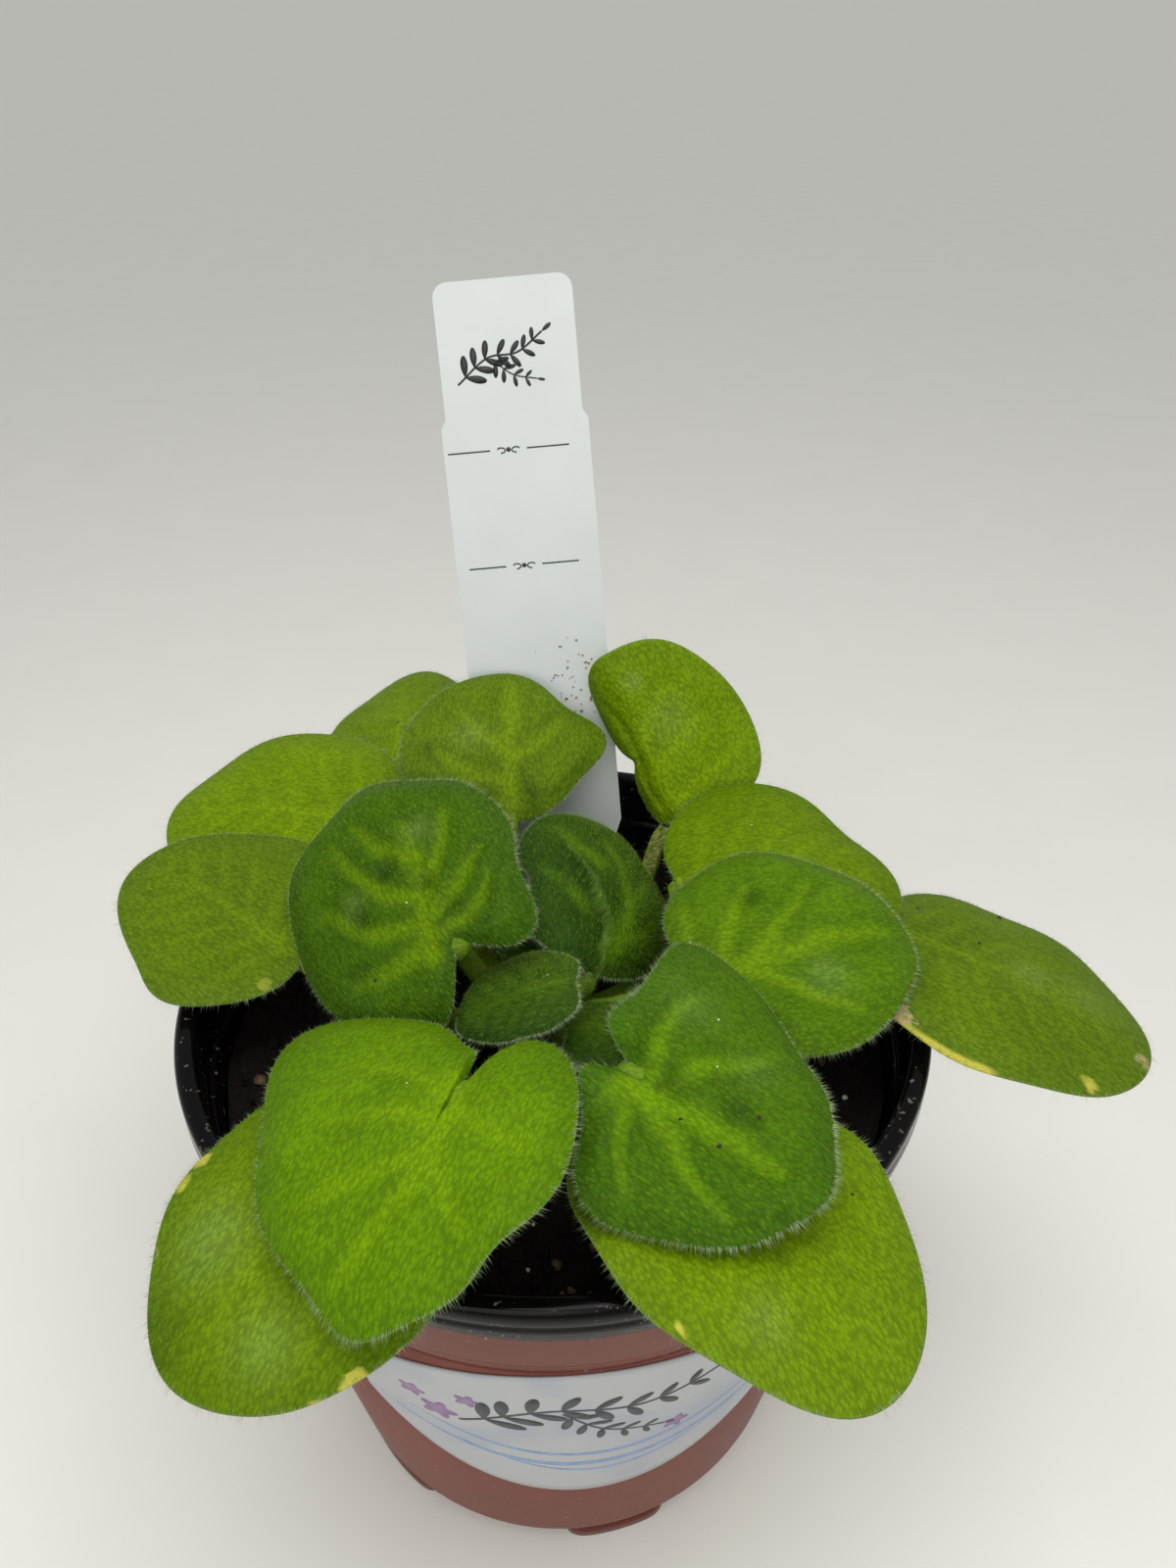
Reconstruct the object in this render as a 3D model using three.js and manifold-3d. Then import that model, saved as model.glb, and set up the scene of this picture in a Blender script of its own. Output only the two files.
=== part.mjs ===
// A potted African violet: a two-tone nursery pot with its paper label, potting soil, a plant tag,
// and a rosette of hairy leaves on one short crown. Millimetres, +Z up, seen from -Y with +X to the
// right. Sizes are worked out from the pot's axis, with its feet on z = 0, and the finished plant is
// then moved sideways, so that the origin lies under the middle of its outline.

import * as THREE from "three";
import { mergeVertices } from "three/addons/utils/BufferGeometryUtils.js";
import Module from "manifold-3d";

const wasm = await Module();
wasm.setup();

// Driving dimensions of the pot

const POT = {
  height: 94.8,
  lipRadius: 57,
  lipDepth: 5,
  lipFold: 0.9,
  wall: 1.1,
  ledgeHeight: 85,
  stepHeight: 77.3,
  stepRadius: 52.9,
  taper: 0.157,
  cornerHeight: 7,
  cornerWidth: 4.5,
  floorUnderside: 2.5,
  segments: 40,
};

const FOOT = { count: 6, firstAngle: -78, arc: 26, innerRadius: 34.5, outerRadius: 39.6, height: 3.4 };
const DRAIN = { count: 6, firstAngle: -100, radius: 4, ring: 27 };
const LABEL = { low: 27.7, high: 73.5, from: -126, to: -45, middle: -86, bow: 46, thickness: 0.3, gap: 0.3 };

// Driving dimensions of the soil, the crown and the tag

const SOIL = { level: 80.5, gap: 0.3, lump: 1.1, rings: [0.14, 0.34, 0.54, 0.74, 0.9, 1] };
const CROWN = { foot: 67.5, top: 95.5, footRadius: 6.6, neckRadius: 6.2, topRadius: 3.6, lean: -8.5 };
const SEAT_GAP = 0.3;

const TAG = {
  length: 127,
  width: 25.4,
  headWidth: 23.6,
  headLength: 22,
  pointLength: 32,
  thickness: 0.8,
  leanBack: 21.5,
  leanSide: -4.2,
  soilX: 1.2,
  soilY: 37,
  aboveSoil: 107.5,
};

// Driving dimensions of the leaves. joint is where the stalk meets the blade, heading is the compass
// angle of the midrib from +X, climb and roll tilt the blade, and droop bends the midrib down along
// its length, all in degrees. left and right are half widths, cup is how far each half curls down,
// lobe and notch shape the heart's base, point the tip, and each bulge swells the margin at an angle,
// over a width in radians where one is given. seat is the height on the crown that the stalk grows
// from, and via are points that the stalk passes on its way to the joint.

const BLADE = { middle: 0.42, thickness: 1, rimThickness: 0.7, ruffleWaves: 6 };
const YOUNG = { spokes: 18, rings: [0.4, 0.78, 1], crowding: 0.3 };
const GROWN = { spokes: 26, rings: [0.35, 0.65, 0.88, 1], crowding: 0.3 };
const HEART = { spokes: 32, rings: [0.35, 0.65, 0.88, 1], crowding: 0.6 };
const CURLED = { spokes: 26, rings: [0.25, 0.45, 0.65, 0.84, 1], crowding: 0 };
const PLAIN_BASE = { lobe: 0.1, notch: 0.42, point: 0.04, foldLeft: 0, bulges: [] };

const LEAVES = [
  { name: "leaf_right_outer", joint: [50, 5, 97.8], heading: -32, climb: 5, roll: -7, length: 45,
    left: 20, right: 20.5, droop: 30, cupLeft: 15, cupRight: 14, point: 0.01, ruffle: 0.4,
    seat: 85, stalk: 1.9, via: [[24, 2, 85.1], [40, 4.5, 91.5]] },
  { name: "leaf_right", joint: [18, -8, 102.5], heading: 2, climb: 12, roll: 10, length: 36,
    left: 21, right: 17.5, droop: 22, cupLeft: 12, cupRight: 15, ruffle: 0.5,
    seat: 91.5, stalk: 1.7, via: [[10, -5, 91.5], [15.5, -7.5, 96.5]] },
  { name: "leaf_front_right", joint: [9, -35.5, 111.5], heading: -34, climb: -22, roll: 8, length: 27.5,
    left: 18, right: 14, droop: -24, cupLeft: 23, cupRight: 27, lobe: 0.26, notch: 0.13, point: 0.07,
    bulges: [[114, 0.5], [-114, 0.12], [-150, -0.07]], ruffle: 0.4, build: HEART,
    seat: 90.5, stalk: 1.6, via: [[2.5, -19, 91], [5.5, -30, 99.5]] },
  { name: "leaf_front_left", joint: [-11.6, -35.9, 110], heading: -117, climb: 2.5, roll: 12, length: 31.3,
    left: 18.1, right: 21.8, droop: 37, cupLeft: 6, cupRight: 6, lobe: 0.44, notch: 0.055, point: 0.1,
    bulges: [[70, -0.1], [-125, 0.45], [-173, -0.21, 0.23]], ruffle: 0.3, build: HEART,
    seat: 87.5, stalk: 1.8, via: [[-5, -18, 90], [-10, -29, 100.5]] },
  { name: "leaf_front_left_low", joint: [-22.5, -30, 98.5], heading: -123, climb: 12, roll: 0,
    length: 40.5, left: 21.5, right: 17.5, droop: 52, cupLeft: 8, cupRight: 15, lobe: 0.12,
    point: 0.02, ruffle: 0.5, seat: 85, stalk: 1.9 },
  { name: "leaf_front_right_low", joint: [12, -26.5, 94], heading: -60, climb: 24, roll: -6,
    length: 49.5, left: 19, right: 19.5, droop: 46, cupLeft: 2, cupRight: 10, lobe: 0.12,
    point: 0.05, ruffle: 0.7, seat: 85, stalk: 1.9 },
  { name: "leaf_left", joint: [-37.8, 0.8, 98], heading: 148, climb: 10.3, roll: -5, length: 35.7,
    left: 14.8, right: 19.5, droop: 5, cupLeft: 7, cupRight: 10, bulges: [[97, 0.08]],
    ruffle: 0.4, seat: 85, stalk: 1.8 },
  { name: "leaf_centre_left", joint: [-13.5, -9, 108.5], heading: 129, climb: 23, roll: -35,
    length: 33.5, left: 23, right: 17, droop: 27, cupLeft: 20, cupRight: 25, lobe: 0.42, notch: 0.33,
    bulges: [[33, 0.15], [-130, -0.07]], ruffle: 0.8, build: HEART,
    seat: 90.5, stalk: 1.6, via: [[-9, -3.5, 94.5], [-13.5, -4.5, 102.5]] },
  { name: "leaf_back", joint: [-7, 25.5, 104.5], heading: 90, climb: 44, roll: 7, length: 29.6,
    left: 18.5, right: 12.5, droop: 25, cupLeft: 10, cupRight: 8, lobe: 0, point: 0.05,
    bulges: [[-77, 0.19]], ruffle: 0.5,
    seat: 89, stalk: 1.6, via: [[-3, 12, 88.3], [-6, 21.5, 92]] },
  { name: "leaf_back_left_low", joint: [-28.5, 47.5, 99.5], heading: 94, climb: 6, roll: -18, length: 40,
    left: 18.5, right: 14.5, droop: 15, cupLeft: 15, cupRight: 12, ruffle: 0.4, seat: 85, stalk: 1.8 },
  { name: "leaf_back_left", joint: [-28.9, 31.4, 100], heading: 173, climb: 11, roll: -10.5, length: 39.6,
    left: 21.3, right: 23.6, droop: 26, cupLeft: 10, cupRight: 10, bulges: [[72, 0.03]],
    ruffle: 0.4, seat: 89, stalk: 1.8 },
  { name: "leaf_back_upright", joint: [23, 32.1, 98.4], heading: 125, climb: 48, roll: -38,
    length: 32.5, left: 9.5, right: 18.8, droop: -16, cupLeft: 71, cupRight: 20, foldLeft: -15,
    lobe: 0.05, point: 0.02, bulges: [[-28, 0.05], [-125, 0.07], [30, 0.04, 0.3], [98, -0.18, 0.75]],
    ruffle: 0.3, build: CURLED, seat: 85, stalk: 1.5,
    via: [[8, 12, 86], [16, 26, 90.5], [20, 32.5, 96.5]] },
  { name: "leaf_back_right", joint: [19.3, 10.6, 102.6], heading: -1, climb: 15, roll: 4, length: 38,
    left: 22, right: 20, droop: 40, cupLeft: 2, cupRight: 14, bulges: [[102, 0.06], [38, -0.05]],
    ruffle: 0.4, seat: 89, stalk: 1.6, via: [[14, 3.5, 87.9], [22, 7, 92]] },
  { name: "leaf_young_centre", joint: [5.5, -4, 97], heading: 70, climb: 36, roll: 42, length: 35,
    left: 15.5, right: 16.5, droop: 63, cupLeft: 52, cupRight: 27, lobe: 0, point: 0.03,
    bulges: [[92, -0.1]], ruffle: 0.4, seat: 92.5, stalk: 1.3 },
  { name: "leaf_young_front", joint: [3, -14, 105], heading: 187, climb: 0, roll: 1, length: 18.5,
    left: 6.5, right: 12, droop: 35, cupLeft: 30, cupRight: 30, lobe: 0.15, ruffle: 0.2,
    seat: 95, stalk: 1.2, build: YOUNG, via: [[2, -11, 100.5]] },
  { name: "leaf_young_right", joint: [1.5, -15, 96.5], heading: -2, climb: 9, roll: -5, length: 15,
    left: 9.5, right: 8, droop: 26, cupLeft: 30, cupRight: 20, lobe: 0.14, ruffle: 0.2,
    seat: 93, stalk: 1.1, build: YOUNG, via: [] },
  { name: "leaf_young_back", joint: [-1.5, 4, 93], heading: 104, climb: 12, roll: 24,
    length: 15.5, left: 9, right: 8.5, droop: 26, cupLeft: 20, cupRight: 20, ruffle: 0.3,
    seat: 89.5, stalk: 1.1, build: YOUNG, via: [] },
];

// Materials: the colours of the real finishes

const finish = (color, roughness) => new THREE.MeshStandardMaterial({ color, roughness, metalness: 0 });
const terracottaPlastic = finish("#7b5448", 0.55);
const labelPaper = finish("#c9cdd2", 0.6);
const pottingSoil = finish("#1d1713", 0.95);
const whitePlastic = finish("#d9dcdb", 0.35);
const crownTissue = finish("#6d6a3a", 0.8);
const grownLeaf = finish("#5c8a1c", 0.75);
const youngLeaf = finish("#35602a", 0.8);

// Solids: joining, cutting and closed shells

const radians = THREE.MathUtils.degToRad;

function toSolid(geometry) {
  const bare = geometry.clone();
  bare.deleteAttribute("normal");
  bare.deleteAttribute("uv");
  const merged = mergeVertices(bare, 1e-4);
  const vertProperties = new Float32Array(merged.attributes.position.array);
  const triVerts = new Uint32Array(merged.index.array);
  return new wasm.Manifold(new wasm.Mesh({ numProp: 3, vertProperties, triVerts }));
}

function toGeometry(solid) {
  const mesh = solid.getMesh();
  const geometry = new THREE.BufferGeometry();
  geometry.setAttribute("position", new THREE.BufferAttribute(new Float32Array(mesh.vertProperties), 3));
  geometry.setIndex(new THREE.BufferAttribute(new Uint32Array(mesh.triVerts), 1));
  return geometry;
}

// A closed shell through rings of points that all hold the same count, capped at both ends.
function loft(rings) {
  const count = rings[0].length;
  const points = rings.flat();
  const index = [];
  for (let ring = 0; ring < rings.length - 1; ring += 1) {
    for (let side = 0; side < count; side += 1) {
      const next = (side + 1) % count;
      const [a, b] = [ring * count + side, ring * count + next];
      index.push(a, b, b + count, a, b + count, a + count);
    }
  }
  const middle = (ring) => ring.reduce((sum, p) => sum.add(p), new THREE.Vector3()).divideScalar(count);
  const first = points.push(middle(rings[0])) - 1;
  const last = points.push(middle(rings.at(-1))) - 1;
  const end = (rings.length - 1) * count;
  for (let side = 0; side < count; side += 1) {
    const next = (side + 1) % count;
    index.push(first, next, side, last, end + side, end + next);
  }
  const geometry = new THREE.BufferGeometry().setFromPoints(points);
  geometry.setIndex(index);
  return geometry;
}

// Rings of a round section carried along a curve, its radius a function of the way along.
function tubeRings(curve, steps, sides, radiusAt) {
  const frames = curve.computeFrenetFrames(steps, false);
  const rings = [];
  for (let step = 0; step <= steps; step += 1) {
    const along = step / steps;
    const centre = curve.getPointAt(along);
    const ring = [];
    for (let side = 0; side < sides; side += 1) {
      const turn = (2 * Math.PI * side) / sides;
      const out = frames.normals[step].clone().multiplyScalar(Math.cos(turn));
      out.addScaledVector(frames.binormals[step], Math.sin(turn));
      ring.push(centre.clone().addScaledVector(out, radiusAt(along)));
    }
    rings.push(ring);
  }
  return rings;
}

// Pot: one thermoformed wall with a lip rolled outwards, six feet and six drain holes

const wallRadius = (z) => POT.stepRadius - POT.taper * (POT.stepHeight - z);

function turned(profile, segments = POT.segments) {
  const points = profile.map(([radius, z]) => new THREE.Vector2(radius, z));
  return new THREE.LatheGeometry(points, segments).rotateX(Math.PI / 2);
}

function cornerArc(inset, steps) {
  const edge = wallRadius(POT.cornerHeight);
  const from = new THREE.Vector2(edge - POT.cornerWidth - inset / 2, POT.floorUnderside + inset);
  const to = new THREE.Vector2(edge - inset, POT.cornerHeight);
  const bend = new THREE.Vector2(to.x - 0.5, from.y);
  return new THREE.QuadraticBezierCurve(from, bend, to).getPoints(steps).map((p) => [p.x, p.y]);
}

function potProfile() {
  const { height, lipRadius, lipDepth, lipFold, wall, ledgeHeight, stepHeight, stepRadius } = POT;
  const lipLow = height - lipDepth;
  const neck = lipRadius - wall - lipFold;
  const outside = [
    [0, POT.floorUnderside],
    ...cornerArc(0, 4),
    [stepRadius, stepHeight],
    [stepRadius + 0.6, stepHeight + 0.5],
    [neck - 0.9, ledgeHeight],
    [neck - 0.3, ledgeHeight + 0.7],
    [neck, height - 2.2],
    [lipRadius - wall, height - 2.2],
    [lipRadius - wall, lipLow],
    [lipRadius, lipLow],
    [lipRadius, height - 1.6],
    [lipRadius - 0.9, height],
  ];
  const inside = [
    [neck - wall + 0.6, height],
    [neck - wall, height - 1],
    [neck - wall - 0.3, ledgeHeight + 0.9],
    [neck - wall - 1.4, ledgeHeight + 0.2],
    [stepRadius - wall + 0.5, stepHeight + 0.9],
    [stepRadius - wall - 0.1, stepHeight],
    ...cornerArc(wall, 3).reverse(),
    [0, POT.floorUnderside + wall],
  ];
  return [...outside, ...inside];
}

function sector(innerRadius, outerRadius, low, high, middleAngle, arc) {
  const rings = [];
  const steps = 4;
  for (let step = 0; step <= steps; step += 1) {
    const angle = radians(middleAngle + arc * (step / steps - 0.5));
    const direction = new THREE.Vector3(Math.cos(angle), Math.sin(angle), 0);
    const corner = (radius, z) => direction.clone().multiplyScalar(radius).setZ(z);
    const inner = [corner(innerRadius, low), corner(innerRadius, high)];
    rings.push([...inner, corner(outerRadius + 0.6, high), corner(outerRadius, low)]);
  }
  return loft(rings);
}

function makePot() {
  let pot = toSolid(turned(potProfile()));
  for (let foot = 0; foot < FOOT.count; foot += 1) {
    const angle = FOOT.firstAngle + (360 * foot) / FOOT.count;
    pot = pot.add(toSolid(sector(FOOT.innerRadius, FOOT.outerRadius, 0, FOOT.height, angle, FOOT.arc)));
  }
  for (let hole = 0; hole < DRAIN.count; hole += 1) {
    const angle = radians(DRAIN.firstAngle + (360 * hole) / DRAIN.count);
    const drill = new THREE.CylinderGeometry(DRAIN.radius, DRAIN.radius, 12, 10).rotateX(Math.PI / 2);
    drill.translate(DRAIN.ring * Math.cos(angle), DRAIN.ring * Math.sin(angle), POT.floorUnderside);
    pot = pot.subtract(toSolid(drill));
  }
  return toGeometry(pot);
}

// Label: a paper sticker on the wall's facets, its lower edge bowed as half an ellipse

function makeLabel() {
  const facet = 360 / POT.segments;
  const steps = Math.round((2 * (LABEL.to - LABEL.from)) / facet);
  const rings = [];
  for (let step = 0; step <= steps; step += 1) {
    const degrees = LABEL.from + (step * facet) / 2;
    const flatness = step % 2 === 0 ? 1 : Math.cos(radians(facet / 2));
    const across = degrees - LABEL.middle;
    const low = LABEL.high - (LABEL.high - LABEL.low) * Math.sqrt(1 - (across / LABEL.bow) ** 2);
    const high = LABEL.high - 0.0045 * across ** 2;
    const at = (out, z) => {
      const radius = wallRadius(z) * flatness + out;
      return new THREE.Vector3(radius * Math.cos(radians(degrees)), radius * Math.sin(radians(degrees)), z);
    };
    const heights = [low, (low + high) / 2, high];
    const outer = heights.map((z) => at(LABEL.gap + LABEL.thickness, z));
    const inner = heights.map((z) => at(LABEL.gap, z)).reverse();
    rings.push([...outer, ...inner].reverse());
  }
  return loft(rings);
}

// Crown: the short thick stem that every stalk grows from

const crownCurve = new THREE.QuadraticBezierCurve3(
  new THREE.Vector3(-0.5, 0, CROWN.foot),
  new THREE.Vector3(-0.5, 0, SOIL.level),
  new THREE.Vector3(0, CROWN.lean, CROWN.top),
);

function crownSolid(extra) {
  const radiusAt = (along) => {
    const neck = THREE.MathUtils.lerp(CROWN.footRadius, CROWN.neckRadius, along);
    const shoulder = THREE.MathUtils.smoothstep(along, 0.72, 1);
    return THREE.MathUtils.lerp(neck, CROWN.topRadius, shoulder) + extra;
  };
  const rings = tubeRings(crownCurve, 9, 12, radiusAt);
  rings[0].forEach((point) => point.addScaledVector(crownCurve.getTangent(0), -extra));
  rings.at(-1).forEach((point) => point.addScaledVector(crownCurve.getTangent(1), extra));
  return toSolid(loft(rings));
}

function crownPoint(height) {
  const along = THREE.MathUtils.clamp((height - CROWN.foot) / (CROWN.top - CROWN.foot), 0, 1);
  let best = crownCurve.getPoint(along);
  for (let step = 0; step <= 60; step += 1) {
    const point = crownCurve.getPoint(step / 60);
    if (Math.abs(point.z - height) < Math.abs(best.z - height)) best = point;
  }
  return best;
}

// Tag: a printed plastic stake with a shouldered head and a pointed foot

function tagShape(grow) {
  const half = TAG.width / 2 + grow;
  const head = TAG.headWidth / 2 + grow;
  const top = TAG.length + grow;
  const corner = 2.5;
  const shape = new THREE.Shape();
  shape.moveTo(0, -3 * grow);
  shape.lineTo(half, TAG.pointLength);
  shape.lineTo(half, TAG.length - TAG.headLength - 1.5);
  shape.lineTo(head, TAG.length - TAG.headLength);
  shape.lineTo(head, top - corner);
  shape.absarc(head - corner, top - corner, corner, 0, Math.PI / 2, false);
  shape.lineTo(-head + corner, top);
  shape.absarc(-head + corner, top - corner, corner, Math.PI / 2, Math.PI, false);
  shape.lineTo(-head, TAG.length - TAG.headLength);
  shape.lineTo(-half, TAG.length - TAG.headLength - 1.5);
  shape.lineTo(-half, TAG.pointLength);
  shape.closePath();
  return shape;
}

function tagBlank(grow) {
  const depth = TAG.thickness + 2 * grow;
  const blank = new THREE.ExtrudeGeometry(tagShape(grow), { depth, bevelEnabled: false, curveSegments: 4 });
  blank.translate(0, TAG.aboveSoil - TAG.length, -depth / 2);
  blank.rotateX(Math.PI / 2 - radians(TAG.leanBack));
  blank.rotateY(radians(TAG.leanSide));
  return blank.translate(TAG.soilX, TAG.soilY + TAG.thickness / 2, SOIL.level);
}

// Soil: a lumpy plug that fills the pot, with plain holes for the crown and the tag

function soilHeight(x, y) {
  const mound = 1.2 * Math.exp(-(x * x + y * y) / 500);
  const lumps = Math.sin(x * 0.23 + 1.1) * Math.cos(y * 0.27 + 0.4) + 0.6 * Math.sin(x * 0.51 - y * 0.43);
  return SOIL.level + mound + SOIL.lump * 0.6 * lumps;
}

function makeSoil() {
  const insideRadius = (z) => wallRadius(z) - POT.wall - SOIL.gap;
  const floor = POT.floorUnderside + POT.wall + SOIL.gap;
  const edge = insideRadius(SOIL.level) - 0.2;
  const rings = [];
  const ringAt = (radius, height) => {
    const ring = [];
    for (let spoke = 0; spoke < POT.segments; spoke += 1) {
      const angle = (2 * Math.PI * spoke) / POT.segments;
      const [x, y] = [radius * Math.cos(angle), radius * Math.sin(angle)];
      ring.push(new THREE.Vector3(x, y, height ?? soilHeight(x, y)));
    }
    return ring;
  };
  SOIL.rings.forEach((part) => rings.push(ringAt(part * edge)));
  rings.push(ringAt(insideRadius(SOIL.level - 6), SOIL.level - 6));
  rings.push(ringAt(insideRadius(POT.cornerHeight + 2), POT.cornerHeight + 2));
  rings.push(ringAt(insideRadius(POT.cornerHeight) - POT.cornerWidth, floor));
  const plug = toSolid(loft(rings.reverse()));
  return toGeometry(plug.subtract(crownSolid(SEAT_GAP)).subtract(toSolid(tagBlank(SEAT_GAP))));
}

// Leaves: the blade's outline, its curved surface and its stalk

function marginRadius(leaf, angle) {
  const back = (BLADE.middle + leaf.lobe) * leaf.length;
  const front = (1 - BLADE.middle - leaf.point) * leaf.length;
  const side = angle >= 0 ? leaf.left : leaf.right;
  const ahead = Math.cos(angle) >= 0 ? front : back;
  let radius = 1 / Math.hypot(Math.cos(angle) / ahead, Math.sin(angle) / side);
  radius += leaf.point * leaf.length * Math.exp(-((angle / 0.38) ** 2));
  radius -= leaf.lobe * leaf.length * Math.exp(-(((Math.PI - Math.abs(angle)) / leaf.notch) ** 2));
  for (const [bulgeAngle, amount, width = 0.4] of leaf.bulges) {
    const away = Math.atan2(Math.sin(angle - radians(bulgeAngle)), Math.cos(angle - radians(bulgeAngle)));
    radius += amount * leaf.length * Math.exp(-((away / width) ** 2));
  }
  return radius;
}

// Across and up along a half blade whose slope starts at fold and falls by cup at its margin.
function halfArc(cup, fold, width, across) {
  const curl = Math.abs(cup) < 1e-4 ? 1e-4 : cup;
  const end = fold - (curl * across) / width;
  return [
    (width / curl) * (Math.sin(fold) - Math.sin(end)),
    (width / curl) * (Math.cos(end) - Math.cos(fold)),
  ];
}

function bladeFrame(leaf) {
  const [heading, climb, roll] = [leaf.heading, leaf.climb, leaf.roll].map(radians);
  const along = new THREE.Vector3(
    Math.cos(heading) * Math.cos(climb), Math.sin(heading) * Math.cos(climb), Math.sin(climb),
  );
  const flatLeft = new THREE.Vector3(-Math.sin(heading), Math.cos(heading), 0);
  const flatUp = along.clone().cross(flatLeft);
  const left = flatLeft.clone().multiplyScalar(Math.cos(roll)).addScaledVector(flatUp, Math.sin(roll));
  return { along, left, up: along.clone().cross(left) };
}

// The middle surface of the blade at a place along and across it.
function bladePoint(leaf, x, y, lift = 0) {
  const bend = Math.abs(leaf.droop) < 0.01 ? radians(0.01) : radians(leaf.droop);
  const turn = (bend * x) / leaf.length;
  const forward = (leaf.length / bend) * Math.sin(turn);
  const fall = (leaf.length / bend) * (1 - Math.cos(turn));
  const onLeft = y >= 0;
  const [across, rise] = onLeft
    ? halfArc(radians(leaf.cupLeft), radians(leaf.foldLeft), leaf.left, y)
    : halfArc(radians(leaf.cupRight), 0, leaf.right, -y);
  const height = rise + lift;
  const { along, left, up } = leaf.frame;
  return new THREE.Vector3(...leaf.joint)
    .addScaledVector(along, forward + height * Math.sin(turn))
    .addScaledVector(left, onLeft ? across : -across)
    .addScaledVector(up, height * Math.cos(turn) - fall);
}

function bladeVertex(leaf, angle, part, side) {
  const reach = part * marginRadius(leaf, angle);
  const [x, y] = [BLADE.middle * leaf.length + reach * Math.cos(angle), reach * Math.sin(angle)];
  const ruffle = leaf.ruffle * Math.sin(BLADE.ruffleWaves * angle + leaf.length) * part ** 3;
  const away = Math.min(1, Math.abs(Math.PI - Math.abs(angle)) / 0.6);
  const here = bladePoint(leaf, x, y, ruffle * away);
  const step = 0.05;
  const ahead = bladePoint(leaf, x + step, y, ruffle * away).sub(here);
  const leftwards = bladePoint(leaf, x, y + step, ruffle * away).sub(here);
  const normal = ahead.cross(leftwards).normalize();
  const thickness = THREE.MathUtils.lerp(BLADE.thickness, BLADE.rimThickness, part * part);
  return here.addScaledVector(normal, (side * thickness) / 2);
}

// Spokes stand closer together by the heart's notch than by the tip.
function spokeAngle(part, crowding) {
  const even = 2 * part - 1;
  return Math.PI * even + crowding * Math.sin(Math.PI * even);
}

function bladeGeometry(leaf) {
  const { spokes, rings, crowding } = leaf.build;
  const faces = [1, -1].map((side) => {
    const centre = [bladeVertex(leaf, 0, 0, side)];
    const circles = rings.map((part) => {
      const circle = [];
      for (let spoke = 0; spoke < spokes; spoke += 1) {
        circle.push(bladeVertex(leaf, spokeAngle(spoke / spokes, crowding), part, side));
      }
      return circle;
    });
    return [...centre, ...circles.flat()];
  });
  const size = faces[0].length;
  const index = [];
  const add = (a, b, c) => index.push(a, b, c, a + size, c + size, b + size);
  for (let spoke = 0; spoke < spokes; spoke += 1) {
    const next = (spoke + 1) % spokes;
    add(0, 1 + spoke, 1 + next);
    for (let ring = 0; ring < rings.length - 1; ring += 1) {
      const start = 1 + ring * spokes;
      add(start + spoke, start + spokes + spoke, start + spokes + next);
      add(start + spoke, start + spokes + next, start + next);
    }
    const rim = 1 + (rings.length - 1) * spokes;
    index.push(rim + spoke, rim + spoke + size, rim + next + size);
    index.push(rim + spoke, rim + next + size, rim + next);
  }
  const geometry = new THREE.BufferGeometry().setFromPoints(faces.flat());
  geometry.setIndex(index);
  return geometry;
}

// The stalk leaves the crown at its seat, meets the joint, and runs on under the blade as its midrib.
function stalkGeometry(leaf) {
  const seat = crownPoint(leaf.seat);
  const joint = new THREE.Vector3(...leaf.joint).addScaledVector(leaf.frame.up, -leaf.stalk * 0.55);
  const span = seat.distanceTo(joint);
  const outward = new THREE.Vector3(joint.x - seat.x, joint.y - seat.y, 0).normalize();
  const leave = seat.clone().addScaledVector(outward, span * 0.4);
  leave.z += span * 0.04;
  const arrival = leaf.frame.along.clone();
  arrival.z = Math.max(arrival.z, 0.25);
  const arrive = joint.clone().addScaledVector(arrival.normalize(), -span * 0.22);
  const between = leaf.via ? leaf.via.map((point) => new THREE.Vector3(...point)) : [leave, arrive];
  const stalk = [seat, ...between, joint];
  const ribParts = [0.1, 0.28, 0.5];
  const rib = ribParts.map((part) => bladePoint(leaf, part * leaf.length, 0, -leaf.stalk * 0.6));
  const curve = new THREE.CatmullRomCurve3([...stalk, ...rib], false, "centripetal");
  const stalkPart = span / (span + 0.5 * leaf.length);
  const radiusAt = (along) => {
    const ribward = THREE.MathUtils.smoothstep(along, stalkPart, 1);
    return leaf.stalk * THREE.MathUtils.lerp(1, 0.45, ribward);
  };
  return loft(tubeRings(curve, leaf.build === YOUNG ? 7 : 9, 6, radiusAt));
}

function makeLeaf(leaf) {
  const joined = toSolid(bladeGeometry(leaf)).add(toSolid(stalkGeometry(leaf)));
  return toGeometry(joined.subtract(crownSolid(SEAT_GAP)));
}

// The whole plant

const plant = new THREE.Group();

function place(name, geometry, material) {
  const mesh = new THREE.Mesh(geometry, material);
  mesh.name = name;
  plant.add(mesh);
}

place("pot", makePot(), terracottaPlastic);
place("pot_label", makeLabel(), labelPaper);
place("soil", makeSoil(), pottingSoil);
place("plant_tag", tagBlank(0), whitePlastic);
place("crown", toGeometry(crownSolid(0)), crownTissue);

for (const dimensions of LEAVES) {
  const leaf = { ...PLAIN_BASE, build: GROWN, ...dimensions };
  leaf.frame = bladeFrame(leaf);
  place(leaf.name, makeLeaf(leaf), leaf.name.includes("young") ? youngLeaf : grownLeaf);
}

// The plant is moved sideways, so that the origin lies under the middle of its outline.

const outline = new THREE.Box3().setFromObject(plant);
const middle = outline.getCenter(new THREE.Vector3());
plant.position.set(-middle.x, -middle.y, 0);
plant.updateMatrixWorld(true);

export default plant;
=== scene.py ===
"""A potted African violet out of bloom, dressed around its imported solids: hairy quilted leaves on one
crown, in a two-tone nursery pot with a wrapped paper label and a leaning plastic tag."""

import logging
import math
from collections.abc import Callable, Sequence
from dataclasses import dataclass, field
from enum import Enum

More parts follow.
